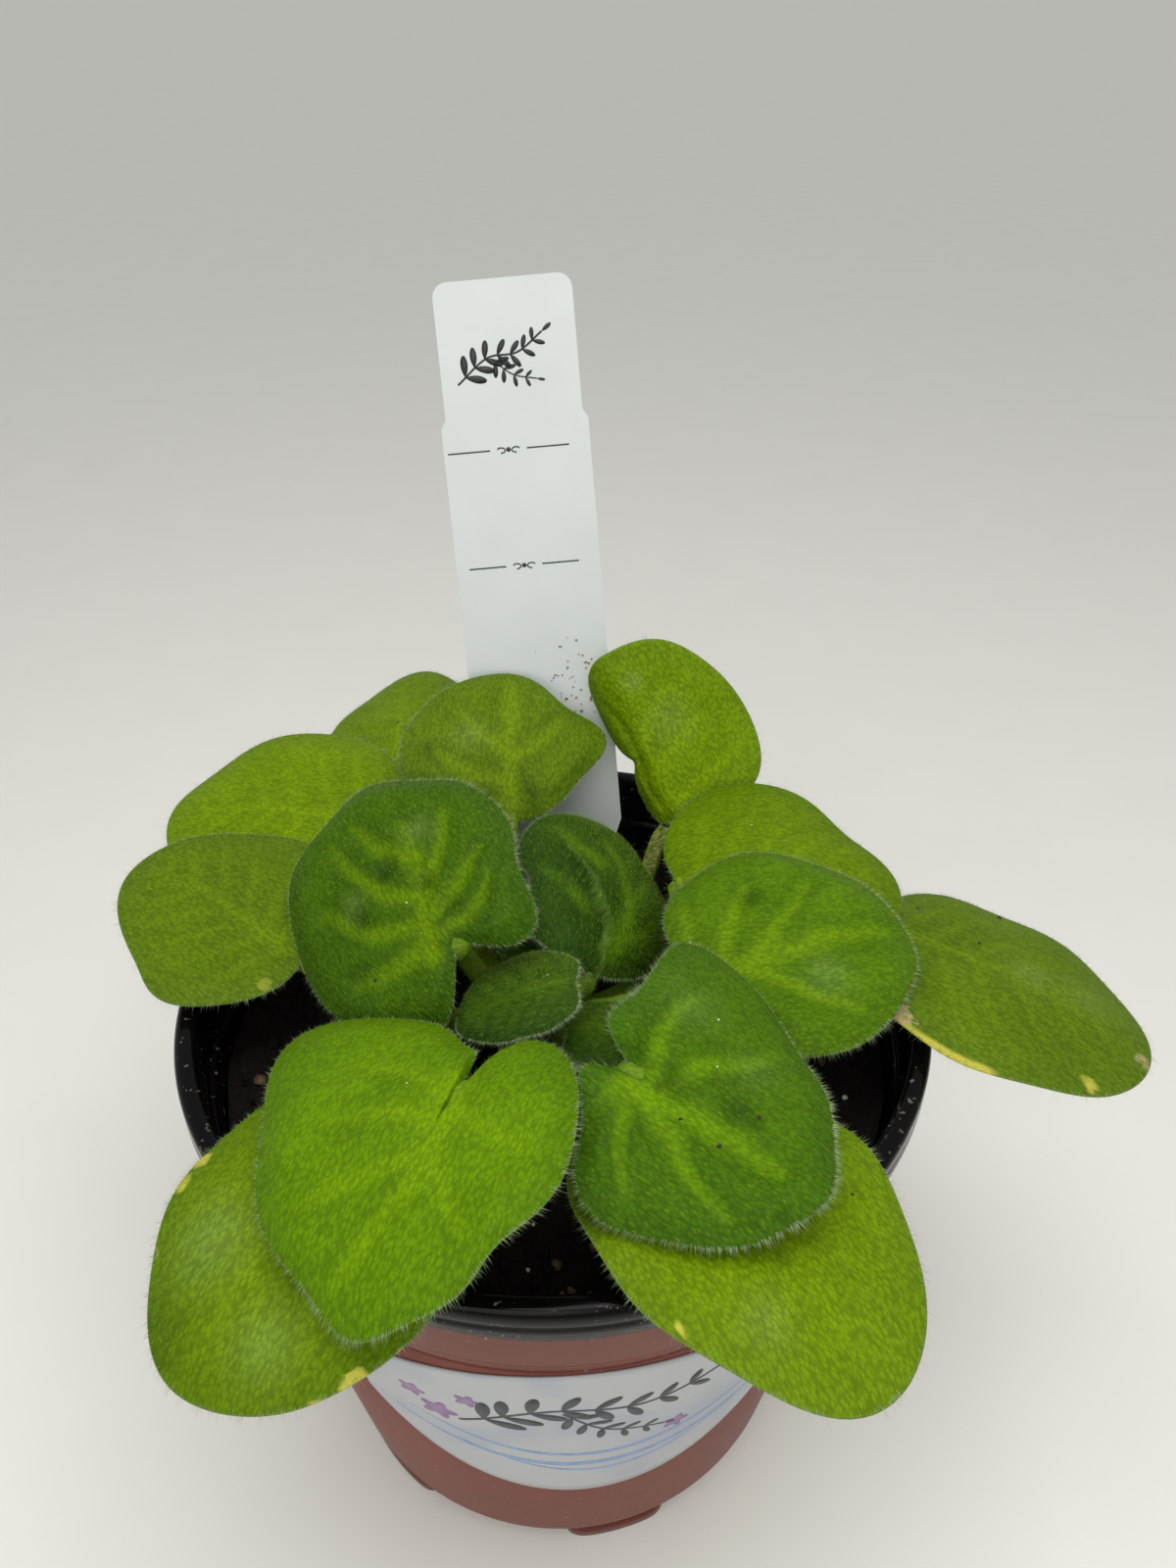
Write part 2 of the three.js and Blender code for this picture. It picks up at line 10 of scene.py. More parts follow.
import bpy
import numpy as np
from mathutils import Matrix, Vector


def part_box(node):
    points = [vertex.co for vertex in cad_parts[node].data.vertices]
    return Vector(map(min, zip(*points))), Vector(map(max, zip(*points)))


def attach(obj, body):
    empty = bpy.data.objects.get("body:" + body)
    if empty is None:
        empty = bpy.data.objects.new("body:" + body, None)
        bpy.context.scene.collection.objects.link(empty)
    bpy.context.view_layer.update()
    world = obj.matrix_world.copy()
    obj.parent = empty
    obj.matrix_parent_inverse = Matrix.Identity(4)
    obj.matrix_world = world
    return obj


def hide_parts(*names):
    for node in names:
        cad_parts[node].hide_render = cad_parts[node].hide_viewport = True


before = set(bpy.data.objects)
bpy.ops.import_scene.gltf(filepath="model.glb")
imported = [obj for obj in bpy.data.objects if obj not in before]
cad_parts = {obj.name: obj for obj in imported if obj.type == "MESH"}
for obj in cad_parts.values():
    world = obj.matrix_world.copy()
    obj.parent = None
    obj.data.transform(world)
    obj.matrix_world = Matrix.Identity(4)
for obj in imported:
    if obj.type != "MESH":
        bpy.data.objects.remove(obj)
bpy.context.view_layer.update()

log = logging.getLogger("violet")

Array = np.ndarray
Point = tuple[float, float, float]
Pair = tuple[float, float]

MM = 0.001
SEED = 11
HAIR_SINK = 0.12  # how deep a hair's root stands in the skin, in millimetres

# the pot's axis in the frame, in millimetres; every size below is taken from it
AXIS = np.array([*(sum(np.array(corner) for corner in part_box("pot")) / 2 / MM)[:2], 0.0])


# Small mathematics


def srgb(code: str) -> tuple[float, float, float, float]:
    """Turns an sRGB hex colour into linear red, green, blue and alpha.

    Args:
        code: six hex digits after a hash sign.

    Returns:
        The linear colour, fully opaque.
    """
    parts = [int(code[i : i + 2], 16) / 255 for i in (1, 3, 5)]
    linear = [p / 12.92 if p <= 0.04045 else ((p + 0.055) / 1.055) ** 2.4 for p in parts]
    return (*linear, 1.0)


def unit(vectors: Array) -> Array:
    """Scales each vector of an array to length one."""
    return vectors / np.maximum(np.linalg.norm(vectors, axis=-1, keepdims=True), 1e-12)


def smoothstep(low: float, high: float, value: Array) -> Array:
    """Rises smoothly from 0 at low to 1 at high."""
    t = np.clip((value - low) / (high - low), 0, 1)
    return t * t * (3 - 2 * t)


def wrapped(angle: Array) -> Array:
    """Brings angles in radians into the range from -pi to pi."""
    return np.arctan2(np.sin(angle), np.cos(angle))


def hump(distance: Array, width: float | Array) -> Array:
    """A bell: 1 at no distance, and 1/e at the width."""
    return np.exp(-((distance / width) ** 2))


def full_turn(count: int) -> Array:
    """Even angles in radians round a full turn, without its end."""
    return np.linspace(0, 2 * np.pi, count, endpoint=False)


def polar(radius: float | Array, angle: Array, height: float | Array) -> Array:
    """Points at radii and angles round the axis, and at heights: (r cos a, r sin a, z)."""
    return np.stack(np.broadcast_arrays(radius * np.cos(angle), radius * np.sin(angle), height), -1)


def quadratic(start: Array, bend: Array, end: Array, t: Array) -> Array:
    """A curve from start to end, drawn towards bend: weights (1-t)^2, 2t(1-t) and t^2."""
    return (1 - t) ** 2 * start + 2 * t * (1 - t) * bend + t * t * end


class SmoothNoise:
    """Seeded value noise on a square lattice, blended smoothly between lattice points."""

    def __init__(self, seed: int, size: int = 64) -> None:
        """Draws the lattice's random heights."""
        self.size = size
        self.lattice = np.random.default_rng(seed).uniform(-1, 1, (size, size))

    def at(self, x: Array, y: Array, scale: float) -> Array:
        """Noise between -1 and 1: the four lattice heights round a point, blended by smooth weights.

        Args:
            x: first coordinates in millimetres.
            y: second coordinates in millimetres.
            scale: the lattice's spacing in millimetres.

        Returns:
            One value for each point.
        """
        u, v = x / scale, y / scale
        i, j = np.floor(u).astype(int), np.floor(v).astype(int)
        a, b = u - i, v - j
        a, b = a * a * (3 - 2 * a), b * b * (3 - 2 * b)
        i0, j0, i1, j1 = i % self.size, j % self.size, (i + 1) % self.size, (j + 1) % self.size
        low = self.lattice[i0, j0] * (1 - a) + self.lattice[i1, j0] * a
        high = self.lattice[i0, j1] * (1 - a) + self.lattice[i1, j1] * a
        return low * (1 - b) + high * b


# Meshes


@dataclass
class Shell:
    """Points in millimetres with triangles, the values and flat places they carry, and a finish's number."""

    points: Array
    triangles: Array
    values: dict[str, Array] = field(default_factory=dict)
    flat: Array | None = None
    finish: int | Array = 0


def quads(a: Array, b: Array, c: Array, d: Array) -> Array:
    """Two triangles for each quad of point numbers, cut from a to c."""
    return np.stack([np.stack([a, b, c], -1), np.stack([a, c, d], -1)], 2).reshape(-1, 3)


def closed_loft(rings: Array, first: Array | None = None, last: Array | None = None) -> tuple[Array, Array]:
    """Joins rings of equal counts into a closed shell with a pole at either end.

    Point (i, j) of the grid is joined to its neighbours along the ring and to the next ring, and the two
    end rings are joined to the poles in fans.

    Args:
        rings: array of rings, sides and coordinates, turning to the left when seen from the last pole.
        first: the pole before the first ring, or None for that ring's mean.
        last: the pole after the last ring, or None for that ring's mean.

    Returns:
        The points, poles last, and the triangles.
    """
    count, sides = rings.shape[:2]
    first = rings[0].mean(0) if first is None else first
    last = rings[-1].mean(0) if last is None else last
    points = np.concatenate([rings.reshape(-1, 3), first[None], last[None]])
    ring, side = np.arange(count - 1)[:, None] * sides, np.arange(sides)
    after = (side + 1) % sides
    a, b = ring + side, ring + after
    walls = quads(a, b, b + sides, a + sides)
    end = (count - 1) * sides
    low = np.stack([np.full(sides, count * sides), after, side], -1)
    high = np.stack([np.full(sides, count * sides + 1), end + side, end + after], -1)
    return points, np.concatenate([walls, low, high])


def turned(profile: Array, sides: int) -> tuple[Array, Array]:
    """Turns a closed profile of radius and height once round the Z axis.

    Args:
        profile: radius and height pairs, anticlockwise in the half plane, ending where it began.
        sides: the number of steps in the full turn.

    Returns:
        The points, ring by ring, and the triangles.
    """
    rings = polar(profile[:, 0:1], full_turn(sides), profile[:, 1:2])
    count = len(profile)
    i, j = np.meshgrid(np.arange(count), np.arange(sides), indexing="ij")
    a, b = i * sides + j, i * sides + (j + 1) % sides
    d, c = (i + 1) % count * sides + j, (i + 1) % count * sides + (j + 1) % sides
    return rings.reshape(-1, 3), quads(a, b, c, d)


def spikes(roots: Array, ways: Array, lengths: Array, widths: Array, finish: int) -> Shell:
    """Hairs as closed three-sided spikes, each sunk a little at its root.

    The base is a triangle round the root, square to the hair's way, and the tip lies one length along it.

    Args:
        roots: where each hair leaves the skin, in millimetres.
        ways: unit vectors along the hairs.
        lengths: lengths in millimetres.
        widths: root radii in millimetres.
        finish: index of the hair's material.

    Returns:
        One shell that holds all the spikes.
    """
    helper = np.where(np.abs(ways[:, 2:3]) < 0.8, [[0.0, 0.0, 1.0]], [[1.0, 0.0, 0.0]])
    side = unit(np.cross(ways, helper))
    other = np.cross(ways, side)
    turn = np.array([0, 2, 4]) * np.pi / 3
    spread = side[:, None] * np.cos(turn)[:, None] + other[:, None] * np.sin(turn)[:, None]
    base = (roots - HAIR_SINK * ways)[:, None] + widths[:, None, None] * spread
    tip = (roots + lengths[:, None] * ways)[:, None]
    points = np.concatenate([base, tip], 1).reshape(-1, 3)
    one = np.array([[0, 1, 3], [1, 2, 3], [2, 0, 3], [0, 2, 1]])
    faces = (np.arange(len(roots))[:, None, None] * 4 + one).reshape(-1, 3)
    return Shell(points, faces, finish=finish)


def scattered_lumps(
    centres: Array, sizes: Array, seed: int, finish: int = 0, squash: float = 0.75
) -> Shell:
    """Angular crumbs: an icosahedron at each centre, its corners pushed in and out at random.

    Args:
        centres: the crumbs' centres in millimetres.
        sizes: their radii in millimetres.
        seed: start of the random numbers.
        finish: index of the crumbs' material.
        squash: height as a share of the width.

    Returns:
        One shell that holds all the crumbs.
    """
    golden = (1 + math.sqrt(5)) / 2
    corners = [(-1, golden, 0), (1, golden, 0), (-1, -golden, 0), (1, -golden, 0)]
    corners += [(0, -1, golden), (0, 1, golden), (0, -1, -golden), (0, 1, -golden)]
    corners += [(golden, 0, -1), (golden, 0, 1), (-golden, 0, -1), (-golden, 0, 1)]
    faces = [(0, 11, 5), (0, 5, 1), (0, 1, 7), (0, 7, 10), (0, 10, 11), (1, 5, 9), (5, 11, 4)]
    faces += [(11, 10, 2), (10, 7, 6), (7, 1, 8), (3, 9, 4), (3, 4, 2), (3, 2, 6), (3, 6, 8)]
    faces += [(3, 8, 9), (4, 9, 5), (2, 4, 11), (6, 2, 10), (8, 6, 7), (9, 8, 1)]
    shape = unit(np.array(corners, float))
    rng = np.random.default_rng(seed)
    stretch = rng.uniform(0.6, 1.35, (len(centres), 12, 1)) * rng.uniform(0.7, 1.3, (len(centres), 1, 3))
    stretch[..., 2] *= squash
    points = centres[:, None] + sizes[:, None, None] * shape[None] * stretch
    index = np.arange(len(centres))[:, None, None] * 12 + np.array(faces)[None]
    return Shell(points.reshape(-1, 3), index.reshape(-1, 3), finish=finish)


def catmull(points: Array, steps: int) -> Array:
    """A centripetal Catmull-Rom curve through points: each span is blended from its four nearest knots.

    Args:
        points: the knots, in millimetres.
        steps: the number of points on the finished curve, evenly spaced along it.

    Returns:
        Points along the curve.
    """
    knots = np.concatenate([[2 * points[0] - points[1]], points, [2 * points[-1] - points[-2]]])
    spacing = np.linalg.norm(np.diff(knots, axis=0), axis=1) ** 0.5
    times = np.concatenate([[0], np.cumsum(spacing)])
    spans = []
    for i in range(1, len(knots) - 2):
        t = np.linspace(times[i], times[i + 1], 24, endpoint=i == len(knots) - 3)[:, None]
        p, s = knots[i - 1 : i + 3], times[i - 1 : i + 3]
        a = [((s[k + 1] - t) * p[k] + (t - s[k]) * p[k + 1]) / (s[k + 1] - s[k]) for k in range(3)]
        b = [((s[k + 2] - t) * a[k] + (t - s[k]) * a[k + 1]) / (s[k + 2] - s[k]) for k in range(2)]
        spans.append(((s[2] - t) * b[0] + (t - s[1]) * b[1]) / (s[2] - s[1]))
    fine = np.concatenate(spans)
    along = np.concatenate([[0], np.cumsum(np.linalg.norm(np.diff(fine, axis=0), axis=1))])
    even = np.linspace(0, along[-1], steps)
    return np.stack([np.interp(even, along, column) for column in fine.T], -1)


def tube(path: Array, radii: Array, sides: int, across: Array, groove: float = 0.0) -> tuple[Array, Array]:
    """A closed tube: a round section of varying radius, carried along a path and capped by poles.

    Args:
        path: points along the middle, in millimetres.
        radii: the section's radius at each point.
        sides: points round the section.
        across: a direction that the path never runs along, which sets where the section starts.
        groove: how much flatter the top is, as a share of the radius.

    Returns:
        The points and the triangles.
    """
    tangent = unit(np.gradient(path, axis=0))
    side = unit(across - (tangent @ across)[:, None] * tangent)
    up = np.cross(tangent, side)
    turn = full_turn(sides)
    lift = np.sin(turn) * (1 - groove * np.clip(np.sin(turn), 0, 1) ** 3)
    ring = side[:, None] * np.cos(turn)[:, None] + up[:, None] * lift[:, None]
    rings = path[:, None] + radii[:, None, None] * ring
    first, last = path[0] - 0.3 * radii[0] * tangent[0], path[-1] + 0.5 * radii[-1] * tangent[-1]
    return closed_loft(rings, first, last)


def build_object(
    name: str, shells: Sequence[Shell], materials: Sequence[bpy.types.Material]
) -> bpy.types.Object:
    """Puts shells into one mesh object that sits at the origin, in metres.

    Args:
        name: the piece's name.
        shells: the shells, whose finish picks one of the materials.
        materials: the piece's material slots.

    Returns:
        The linked object.
    """
    starts = np.cumsum([0] + [len(s.points) for s in shells[:-1]])
    points = (np.concatenate([s.points for s in shells]) + AXIS) * MM
    faces = np.concatenate([s.triangles + start for s, start in zip(shells, starts)])
    mesh = bpy.data.meshes.new(name)
    mesh.from_pydata(points.tolist(), [], faces.tolist())
    mesh.polygons.foreach_set("use_smooth", np.ones(len(faces), bool))
    slots = np.concatenate([np.full(len(s.triangles), s.finish) for s in shells])
    mesh.polygons.foreach_set("material_index", slots.astype(np.int32))
    for key in sorted({k for s in shells for k in s.values}):
        data = [np.broadcast_to(s.values.get(key, 0.0), len(s.points)) for s in shells]
        layer = mesh.attributes.new(key, "FLOAT", "POINT")
        layer.data.foreach_set("value", np.concatenate(data).astype(np.float32))
    if any(s.flat is not None for s in shells):
        places = [np.zeros((len(s.points), 2)) if s.flat is None else s.flat for s in shells]
        corner = np.empty(len(mesh.loops), np.int32)
        mesh.loops.foreach_get("vertex_index", corner)
        layer = mesh.uv_layers.new(name="skin")
        layer.data.foreach_set("uv", np.concatenate(places)[corner].astype(np.float32).ravel())
    for material in materials:
        mesh.materials.append(material)
    mesh.update()
    piece = bpy.data.objects.new(name, mesh)
    bpy.context.scene.collection.objects.link(piece)
    return piece


def settle(piece: bpy.types.Object, nodes: Sequence[str]) -> None:
    """Makes a piece ride with the plant and stand for its nodes, whose solids are hidden.

    Args:
        piece: the finished object.
        nodes: the solids that it stands for, if any.
    """
    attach(piece, "root")
    if nodes:
        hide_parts(*nodes)
    log.info("%s: %d faces", piece.name, len(piece.data.polygons))


def add_piece(
    name: str, shells: Sequence[Shell], finishes: Sequence["Finish"], nodes: Sequence[str]
) -> None:
    """Builds a piece and settles it, as build_object and settle say."""
    settle(build_object(name, shells, [finish.material() for finish in finishes]), nodes)


# Finishes


def node(
    tree: bpy.types.NodeTree, kind: str, inputs: dict | None = None, **settings: object
) -> bpy.types.Node:
    """Adds a shader node, sets its options, and fills or links its inputs.

    Args:
        tree: the material's node tree.
        kind: the node's type, without its ShaderNode start.
        inputs: socket name or number to a value, or to the socket that feeds it.
        settings: options of the node itself.

    Returns:
        The new node.
    """
    made = tree.nodes.new("ShaderNode" + kind)
    for key, value in settings.items():
        setattr(made, key, value)
    for key, value in (inputs or {}).items():
        if isinstance(value, bpy.types.NodeSocket):
            tree.links.new(value, made.inputs[key])
        else:
            made.inputs[key].default_value = value
    return made


def layered(tree: bpy.types.NodeTree, colour: object, layers: Sequence[tuple]) -> object:
    """Lays colours over one another, each as strongly as its pattern is high.

    Args:
        tree: the material's node tree.
        colour: the lowest colour, or the socket that gives it.
        layers: for each colour a pattern's socket, or the name of a value that the points carry; the
            readings where the colour starts and where it is strongest; its share there; its hex code.

    Returns:
        The socket of the finished colour.
    """
    for pattern, low, high, most, over in layers:
        if isinstance(pattern, str):
            pattern = node(tree, "Attribute", attribute_name=pattern).outputs["Fac"]
        ranged = {"Value": pattern, "From Min": low, "From Max": high, "To Max": most}
        share = node(tree, "MapRange", ranged).outputs[0]
        colour = node(tree, "Mix", {0: share, 6: colour, 7: srgb(over)}, data_type="RGBA").outputs[2]
    return colour


class Finish:
    """A material of nodes, made on its first use and then shared."""

    name: str

    def inputs(self, tree: bpy.types.NodeTree, place: bpy.types.NodeSocket) -> dict:
        """The shader's inputs, as values or sockets."""
        raise NotImplementedError

    def material(self) -> bpy.types.Material:
        """Ends the finish's nodes in a Principled shader.

        Returns:
            The material, which is made only once.
        """
        found = bpy.data.materials.get(self.name)
        if found:
            return found
        material = bpy.data.materials.new(self.name)
        material.use_nodes = True
        tree = material.node_tree
        tree.nodes.clear()
        inputs = self.inputs(tree, node(tree, "TexCoord").outputs["Object"])
        shader = node(tree, "BsdfPrincipled", inputs)
        node(tree, "OutputMaterial", {"Surface": shader.outputs[0]})
        return material


class Tone(Enum):
    """Leaf colours by age: pockets between veins, veins, the swell of the blade, and its outer band. The
    swell colour tints random patches and is painted over raised places as a highlight.
    """

    DEEP = ("#385A02", "#749602", "#4A6E04", "#3C5E16")
    MID = ("#406602", "#78A000", "#527A04", "#3E6214")
    FRESH = ("#4E7402", "#7CA004", "#628602", "#4C6E12")
    BRIGHT = ("#5A8000", "#88AE00", "#6E9600", "#507604")
    FULL = ("#608000", "#86A602", "#709000", "#587604")
    OLIVE = ("#56740A", "#7E9A0A", "#68840C", "#5A7418")
    LIGHT = ("#688600", "#8CAC02", "#789802", "#6A8612")
    YOUNG = ("#26440A", "#5E8608", "#38580C", "#34541E")


@dataclass(frozen=True)
class LeafFinish(Finish):
    """Living leaf tissue: waxy cells under a velvet of hairs, so it is satin, with hardly any gloss.

    Leaf wax has an index of about 1.4, and the hairs scatter its gloss to a roughness near 0.5.
    """

    tone: Tone
    roughness: float = 0.5
    gloss: float = 0.08
    sheen: float = 0.03

    @property
    def name(self) -> str:
        """The material's name, with the leaf's age in it."""
        return f"violet_leaf_{self.tone.name.lower()}"

    def inputs(self, tree: bpy.types.NodeTree, place: bpy.types.NodeSocket) -> dict:
        """Colours the veins, pockets, rim, underside and marks, with painted highlights and painted shade,
        from the values that the points carry.

        Args:
            tree: the material's node tree.
            place: the socket of the object's coordinates.

        Returns:
            The shader's inputs.
        """
        pocket, vein, swell, band = self.tone.value
        skin = node(tree, "UVMap", uv_map="skin").outputs[0]

        # patches of about 9 mm, a dome of 0.9 by 0.5 mm at each hair's foot, and strokes of 1 by 0.3 mm
        broad = node(tree, "TexNoise", {"Vector": place, "Scale": 110.0, "Detail": 2.0}).outputs["Fac"]
        drawn_out = node(tree, "Mapping", {"Vector": skin, "Scale": (1.15, 2.0, 1.0)}).outputs[0]
        cells = {"Vector": drawn_out, "Scale": 1.0, "Randomness": 0.9}
        domes = node(tree, "TexVoronoi", cells).outputs["Distance"]
        strokes = node(tree, "Mapping", {"Vector": skin, "Scale": (1.0, 3.4, 1.0)}).outputs[0]
        fine = node(tree, "TexNoise", {"Vector": strokes, "Scale": 1.0, "Detail": 2.0}).outputs["Fac"]

        # the outer band comes in slowly, and yellow and tan marks break up along the patches and strokes
        rim = node(tree, "Attribute", attribute_name="rim").outputs["Fac"]
        outer = node(tree, "MapRange", {"Value": rim, "From Min": 0.6, "From Max": 1.0}).outputs[0]
        outer = node(tree, "Math", {0: outer, 1: 1.5}, operation="POWER").outputs[0]
        broken = []
        for mark, pattern, low, least in (("yellow", broad, 0.3, 0.5), ("tan", fine, 0.35, 0.3)):
            carried = node(tree, "Attribute", attribute_name=mark).outputs["Fac"]
            ranged = {"Value": pattern, "From Min": low, "From Max": 0.6, "To Min": least, "To Max": 1.3}
            grain = node(tree, "MapRange", ranged).outputs[0]
            broken.append(node(tree, "Math", {0: carried, 1: grain}, operation="MULTIPLY").outputs[0])

        # random patches take the swell colour, and the swell value paints raised places lighter as a
        # highlight; dark is painted shade, and on a stalk its own brown
        colour = layered(tree, srgb(pocket), [
            (broad, 0.36, 0.64, 0.5, swell), ("swell", 0.0, 1.0, 0.25, swell),
            ("vein", 0.05, 0.8, 0.9, vein), (outer, 0.0, 1.0, 0.75, band),
            ("dark", 0.0, 1.0, 0.75, "#24400A"), ("pale", 0.0, 1.0, 0.6, "#86A050"),
        ])
        # each dome is painted lighter on its top and darker round its foot: painted light and shade over the
        # bump
        ranged = {"Value": domes, "From Min": 0.05, "From Max": 0.75, "To Min": 1.18, "To Max": 0.72}
        grain = node(tree, "MapRange", ranged).outputs[0]
        shade = node(tree, "CombineColor", {0: grain, 1: grain, 2: grain}).outputs[0]
        both = {0: 1.0, 6: colour, 7: shade}
        colour = node(tree, "Mix", both, data_type="RGBA", blend_type="MULTIPLY").outputs[2]
        # painted glints where the strokes read highest, and a painted highlight in a pale line along the
        # margin
        colour = layered(tree, colour, [
            (fine, 0.58, 0.72, 0.24, "#94B01C"), (rim, 0.988, 1.0, 0.3, "#8FA660"),
            ("under", 0.0, 1.0, 0.75, "#7F9642"), (broken[0], 0.15, 0.8, 0.85, "#C6BE4C"),
            (broken[1], 0.2, 0.8, 0.9, "#B7A277"),
        ])
        height = node(tree, "Math", {0: domes, 1: -1.0}, operation="MULTIPLY").outputs[0]
        bump = node(tree, "Bump", {"Height": height, "Strength": 0.65, "Distance": 0.0003}).outputs[0]
        return {
            "Base Color": colour, "Roughness": self.roughness, "IOR": 1.4, "Specular IOR Level": self.gloss,
            "Sheen Weight": self.sheen, "Sheen Roughness": 0.4, "Sheen Tint": srgb("#B4D060"),
            "Subsurface Weight": 0.08, "Subsurface Radius": (0.5, 1.0, 0.1), "Subsurface Scale": 0.001,
            "Normal": bump,
        }


@dataclass(frozen=True)
class Noise:
    """A noise that lays a colour: its cells are 1000 / scale mm wide, and flatter than wide by flat.

    The colour comes in between the readings low and high, and has its share from high on.
    """

    scale: float
    low: float
    high: float
    share: float
    colour: str
    detail: float = 2.0
    flat: float = 1.0


@dataclass(frozen=True)
class Patterned(Finish):
    """A finish whose colours drift in noises, with an uneven gloss, a relief and grains where it has them.

    The relief is its noise's scale and detail, its strength, and its depth in metres. The grains are
    cells, so many a metre, and each darkens the base and the first noise's colour by its own tint.
    """

    name: str
    base: str
    noises: tuple[Noise, ...]
    roughness: float
    ior: float
    gloss: float = 0.5
    uneven: Pair | None = None
    relief: tuple[float, float, float, float] | None = None
    grains: float = 0.0

    def inputs(self, tree: bpy.types.NodeTree, place: bpy.types.NodeSocket) -> dict:
        """Lays each noise's colour over the base, and adds the gloss and the relief.

        Args:
            tree: the material's node tree.
            place: the socket of the object's coordinates.

        Returns:
            The shader's inputs.
        """
        layers = []
        for noise in self.noises:
            at = node(tree, "Mapping", {"Vector": place, "Scale": (1.0, 1.0, noise.flat)}).outputs[0]
            drift = node(tree, "TexNoise", {"Vector": at, "Scale": noise.scale, "Detail": noise.detail})
            layers.append((drift.outputs["Fac"], noise.low, noise.high, noise.share, noise.colour))
        colour = layered(tree, srgb(self.base), layers[:1])
        if self.grains:
            grain = node(tree, "TexVoronoi", {"Vector": place, "Scale": self.grains}).outputs["Color"]
            both = {0: 0.35, 6: colour, 7: grain}
            colour = node(tree, "Mix", both, data_type="RGBA", blend_type="MULTIPLY").outputs[2]
        made = {"Base Color": layered(tree, colour, layers[1:]), "Roughness": self.roughness,
                "IOR": self.ior, "Specular IOR Level": self.gloss}
        if self.uneven:
            least, most = (self.roughness + change for change in self.uneven)
            ranged = {"Value": layers[0][0], "From Min": 0.3, "From Max": 0.7}
            ranged |= {"To Min": least, "To Max": most}
            made["Roughness"] = node(tree, "MapRange", ranged).outputs[0]
        if self.relief:
            scale, detail, strength, depth = self.relief
            rise = node(tree, "TexNoise", {"Vector": place, "Scale": scale, "Detail": detail}).outputs["Fac"]
            bump = node(tree, "Bump", {"Height": rise, "Strength": strength, "Distance": depth})
            made["Normal"] = bump.outputs[0]
        return made


def grained(name: str, colour: str, other: str, roughness: float = 0.8) -> Patterned:
    """Two near colours in a grain of 2 mm, for bark, grit, perlite, scuffs or printing ink."""
    return Patterned(name, colour, (Noise(500.0, 0.35, 0.65, 1.0, other, 3.0),), roughness, 1.45)


def downy(name: str, colour: str, other: str) -> Patterned:
    """Glassy plant hairs, with an index near 1.5: together they read as a pale green down."""
    return Patterned(name, colour, (Noise(150.0, 0.35, 0.65, 0.6, other),), 0.45, 1.5, 0.4)


def plastic(
    name: str, colour: str, worn: str, roughness: float, dust: float,
    gloss: float = 0.4, scratched: float = 0.0,
) -> Patterned:
    """Thermoformed styrene, index near 1.49: mottled over 14 mm, with level scratches and dusty specks.

    Args:
        name: the material's name.
        colour: its clean colour.
        worn: its colour where it is worn.
        roughness: the middle of its uneven roughness.
        dust: how strong the specks are.
        gloss: its specular level.
        scratched: how strong the scratches are.

    Returns:
        The finish.
    """
    noises = (
        Noise(70.0, 0.35, 0.7, 0.6, worn, 4.0),
        Noise(260.0, 0.68, 0.73, scratched, "#8E8A84", flat=9.0),
        Noise(900.0, 0.67, 0.72, dust, "#C9B9A8"),
    )
    return Patterned(name, colour, noises, roughness, 1.49, gloss, (-0.04, 0.06), (70.0, 4.0, 0.15, 0.0004))


DOWN = downy("velvet_down", "#6C8E10", "#84A226")
FRINGE = downy("margin_fringe", "#B2C296", "#8EA668")
DARK_SCRAP = grained("dark_bark_scrap", "#231A12", "#3A2C1E")
PALE_SCRAP = grained("pale_grit", "#E4E6D2", "#C2C6A8")

# satin terracotta with pale scuffs, a shinier black liner, and terracotta painted darker as shade on the feet
# and in the line sunk above the label
TERRACOTTA = plastic("terracotta_polystyrene", "#6E382C", "#804C42", 0.4, 0.14, 0.22, 0.12)
LINER = plastic("black_polystyrene", "#040404", "#080707", 0.12, 0.22, 0.12, 0.2)
SHADED_TERRACOTTA = plastic("terracotta_with_painted_shade", "#5C261E", "#6C3028", 0.35, 0.2, 0.3)
WHITE_STYRENE = plastic("white_styrene", "#C8CDCA", "#C2C7C4", 0.36, 0.08)

# coated paper: cool white, with faint blue and lavender clouds of 15 and 26 mm, and a fine tooth
PAPER = Patterned(
    "coated_label_paper", "#B0B2B3",
    (Noise(65.0, 0.5, 0.68, 0.6, "#959DAE"), Noise(38.0, 0.52, 0.7, 0.4, "#A39DAD", 1.0)),
    0.38, 1.5, relief=(2500.0, 2.0, 0.1, 0.00005),
)

# damp peat mix: near black and rough, with grains of about 1.5 mm and a few tan fibres
PEAT = Patterned(
    "damp_peat_mix", "#0A0807",
    (Noise(1500.0, 0.3, 0.7, 1.0, "#1E1712", 4.0), Noise(1500.0, 0.7, 0.8, 0.5, "#5E4C38", 4.0)),
    0.85, 1.4, 0.25, relief=(1500.0, 4.0, 0.8, 0.0006), grains=700.0,
)

# matt pale card, with clouds of 25 mm that hardly show
CARD = Patterned("pale_card", "#EEEEE6", (Noise(40.0, 0.3, 0.7, 1.0, "#ECECE4", 6.0),), 0.8, 1.45)


# Leaves


class Spot(Enum):
    """Kinds of mark on a blade: four that only colour it, and a hollow that also sinks.
    Dark marks are painted shade, and a hollow is painted darker as shade; pale marks are partly real scuffs
    and partly painted sheen.
    """

    YELLOW = "yellow"
    TAN = "tan"
    DARK = "dark"
    PALE = "pale"
    HOLLOW = "hollow"


YELLOW, TAN, DARK, PALE, HOLLOW = Spot


@dataclass(frozen=True)
class Mark:
    """A mark on a blade: its place as shares of length and half width, and its radius in millimetres."""

    kind: Spot
    along: float
    across: float
    radius: float
    strength: float = 1.0


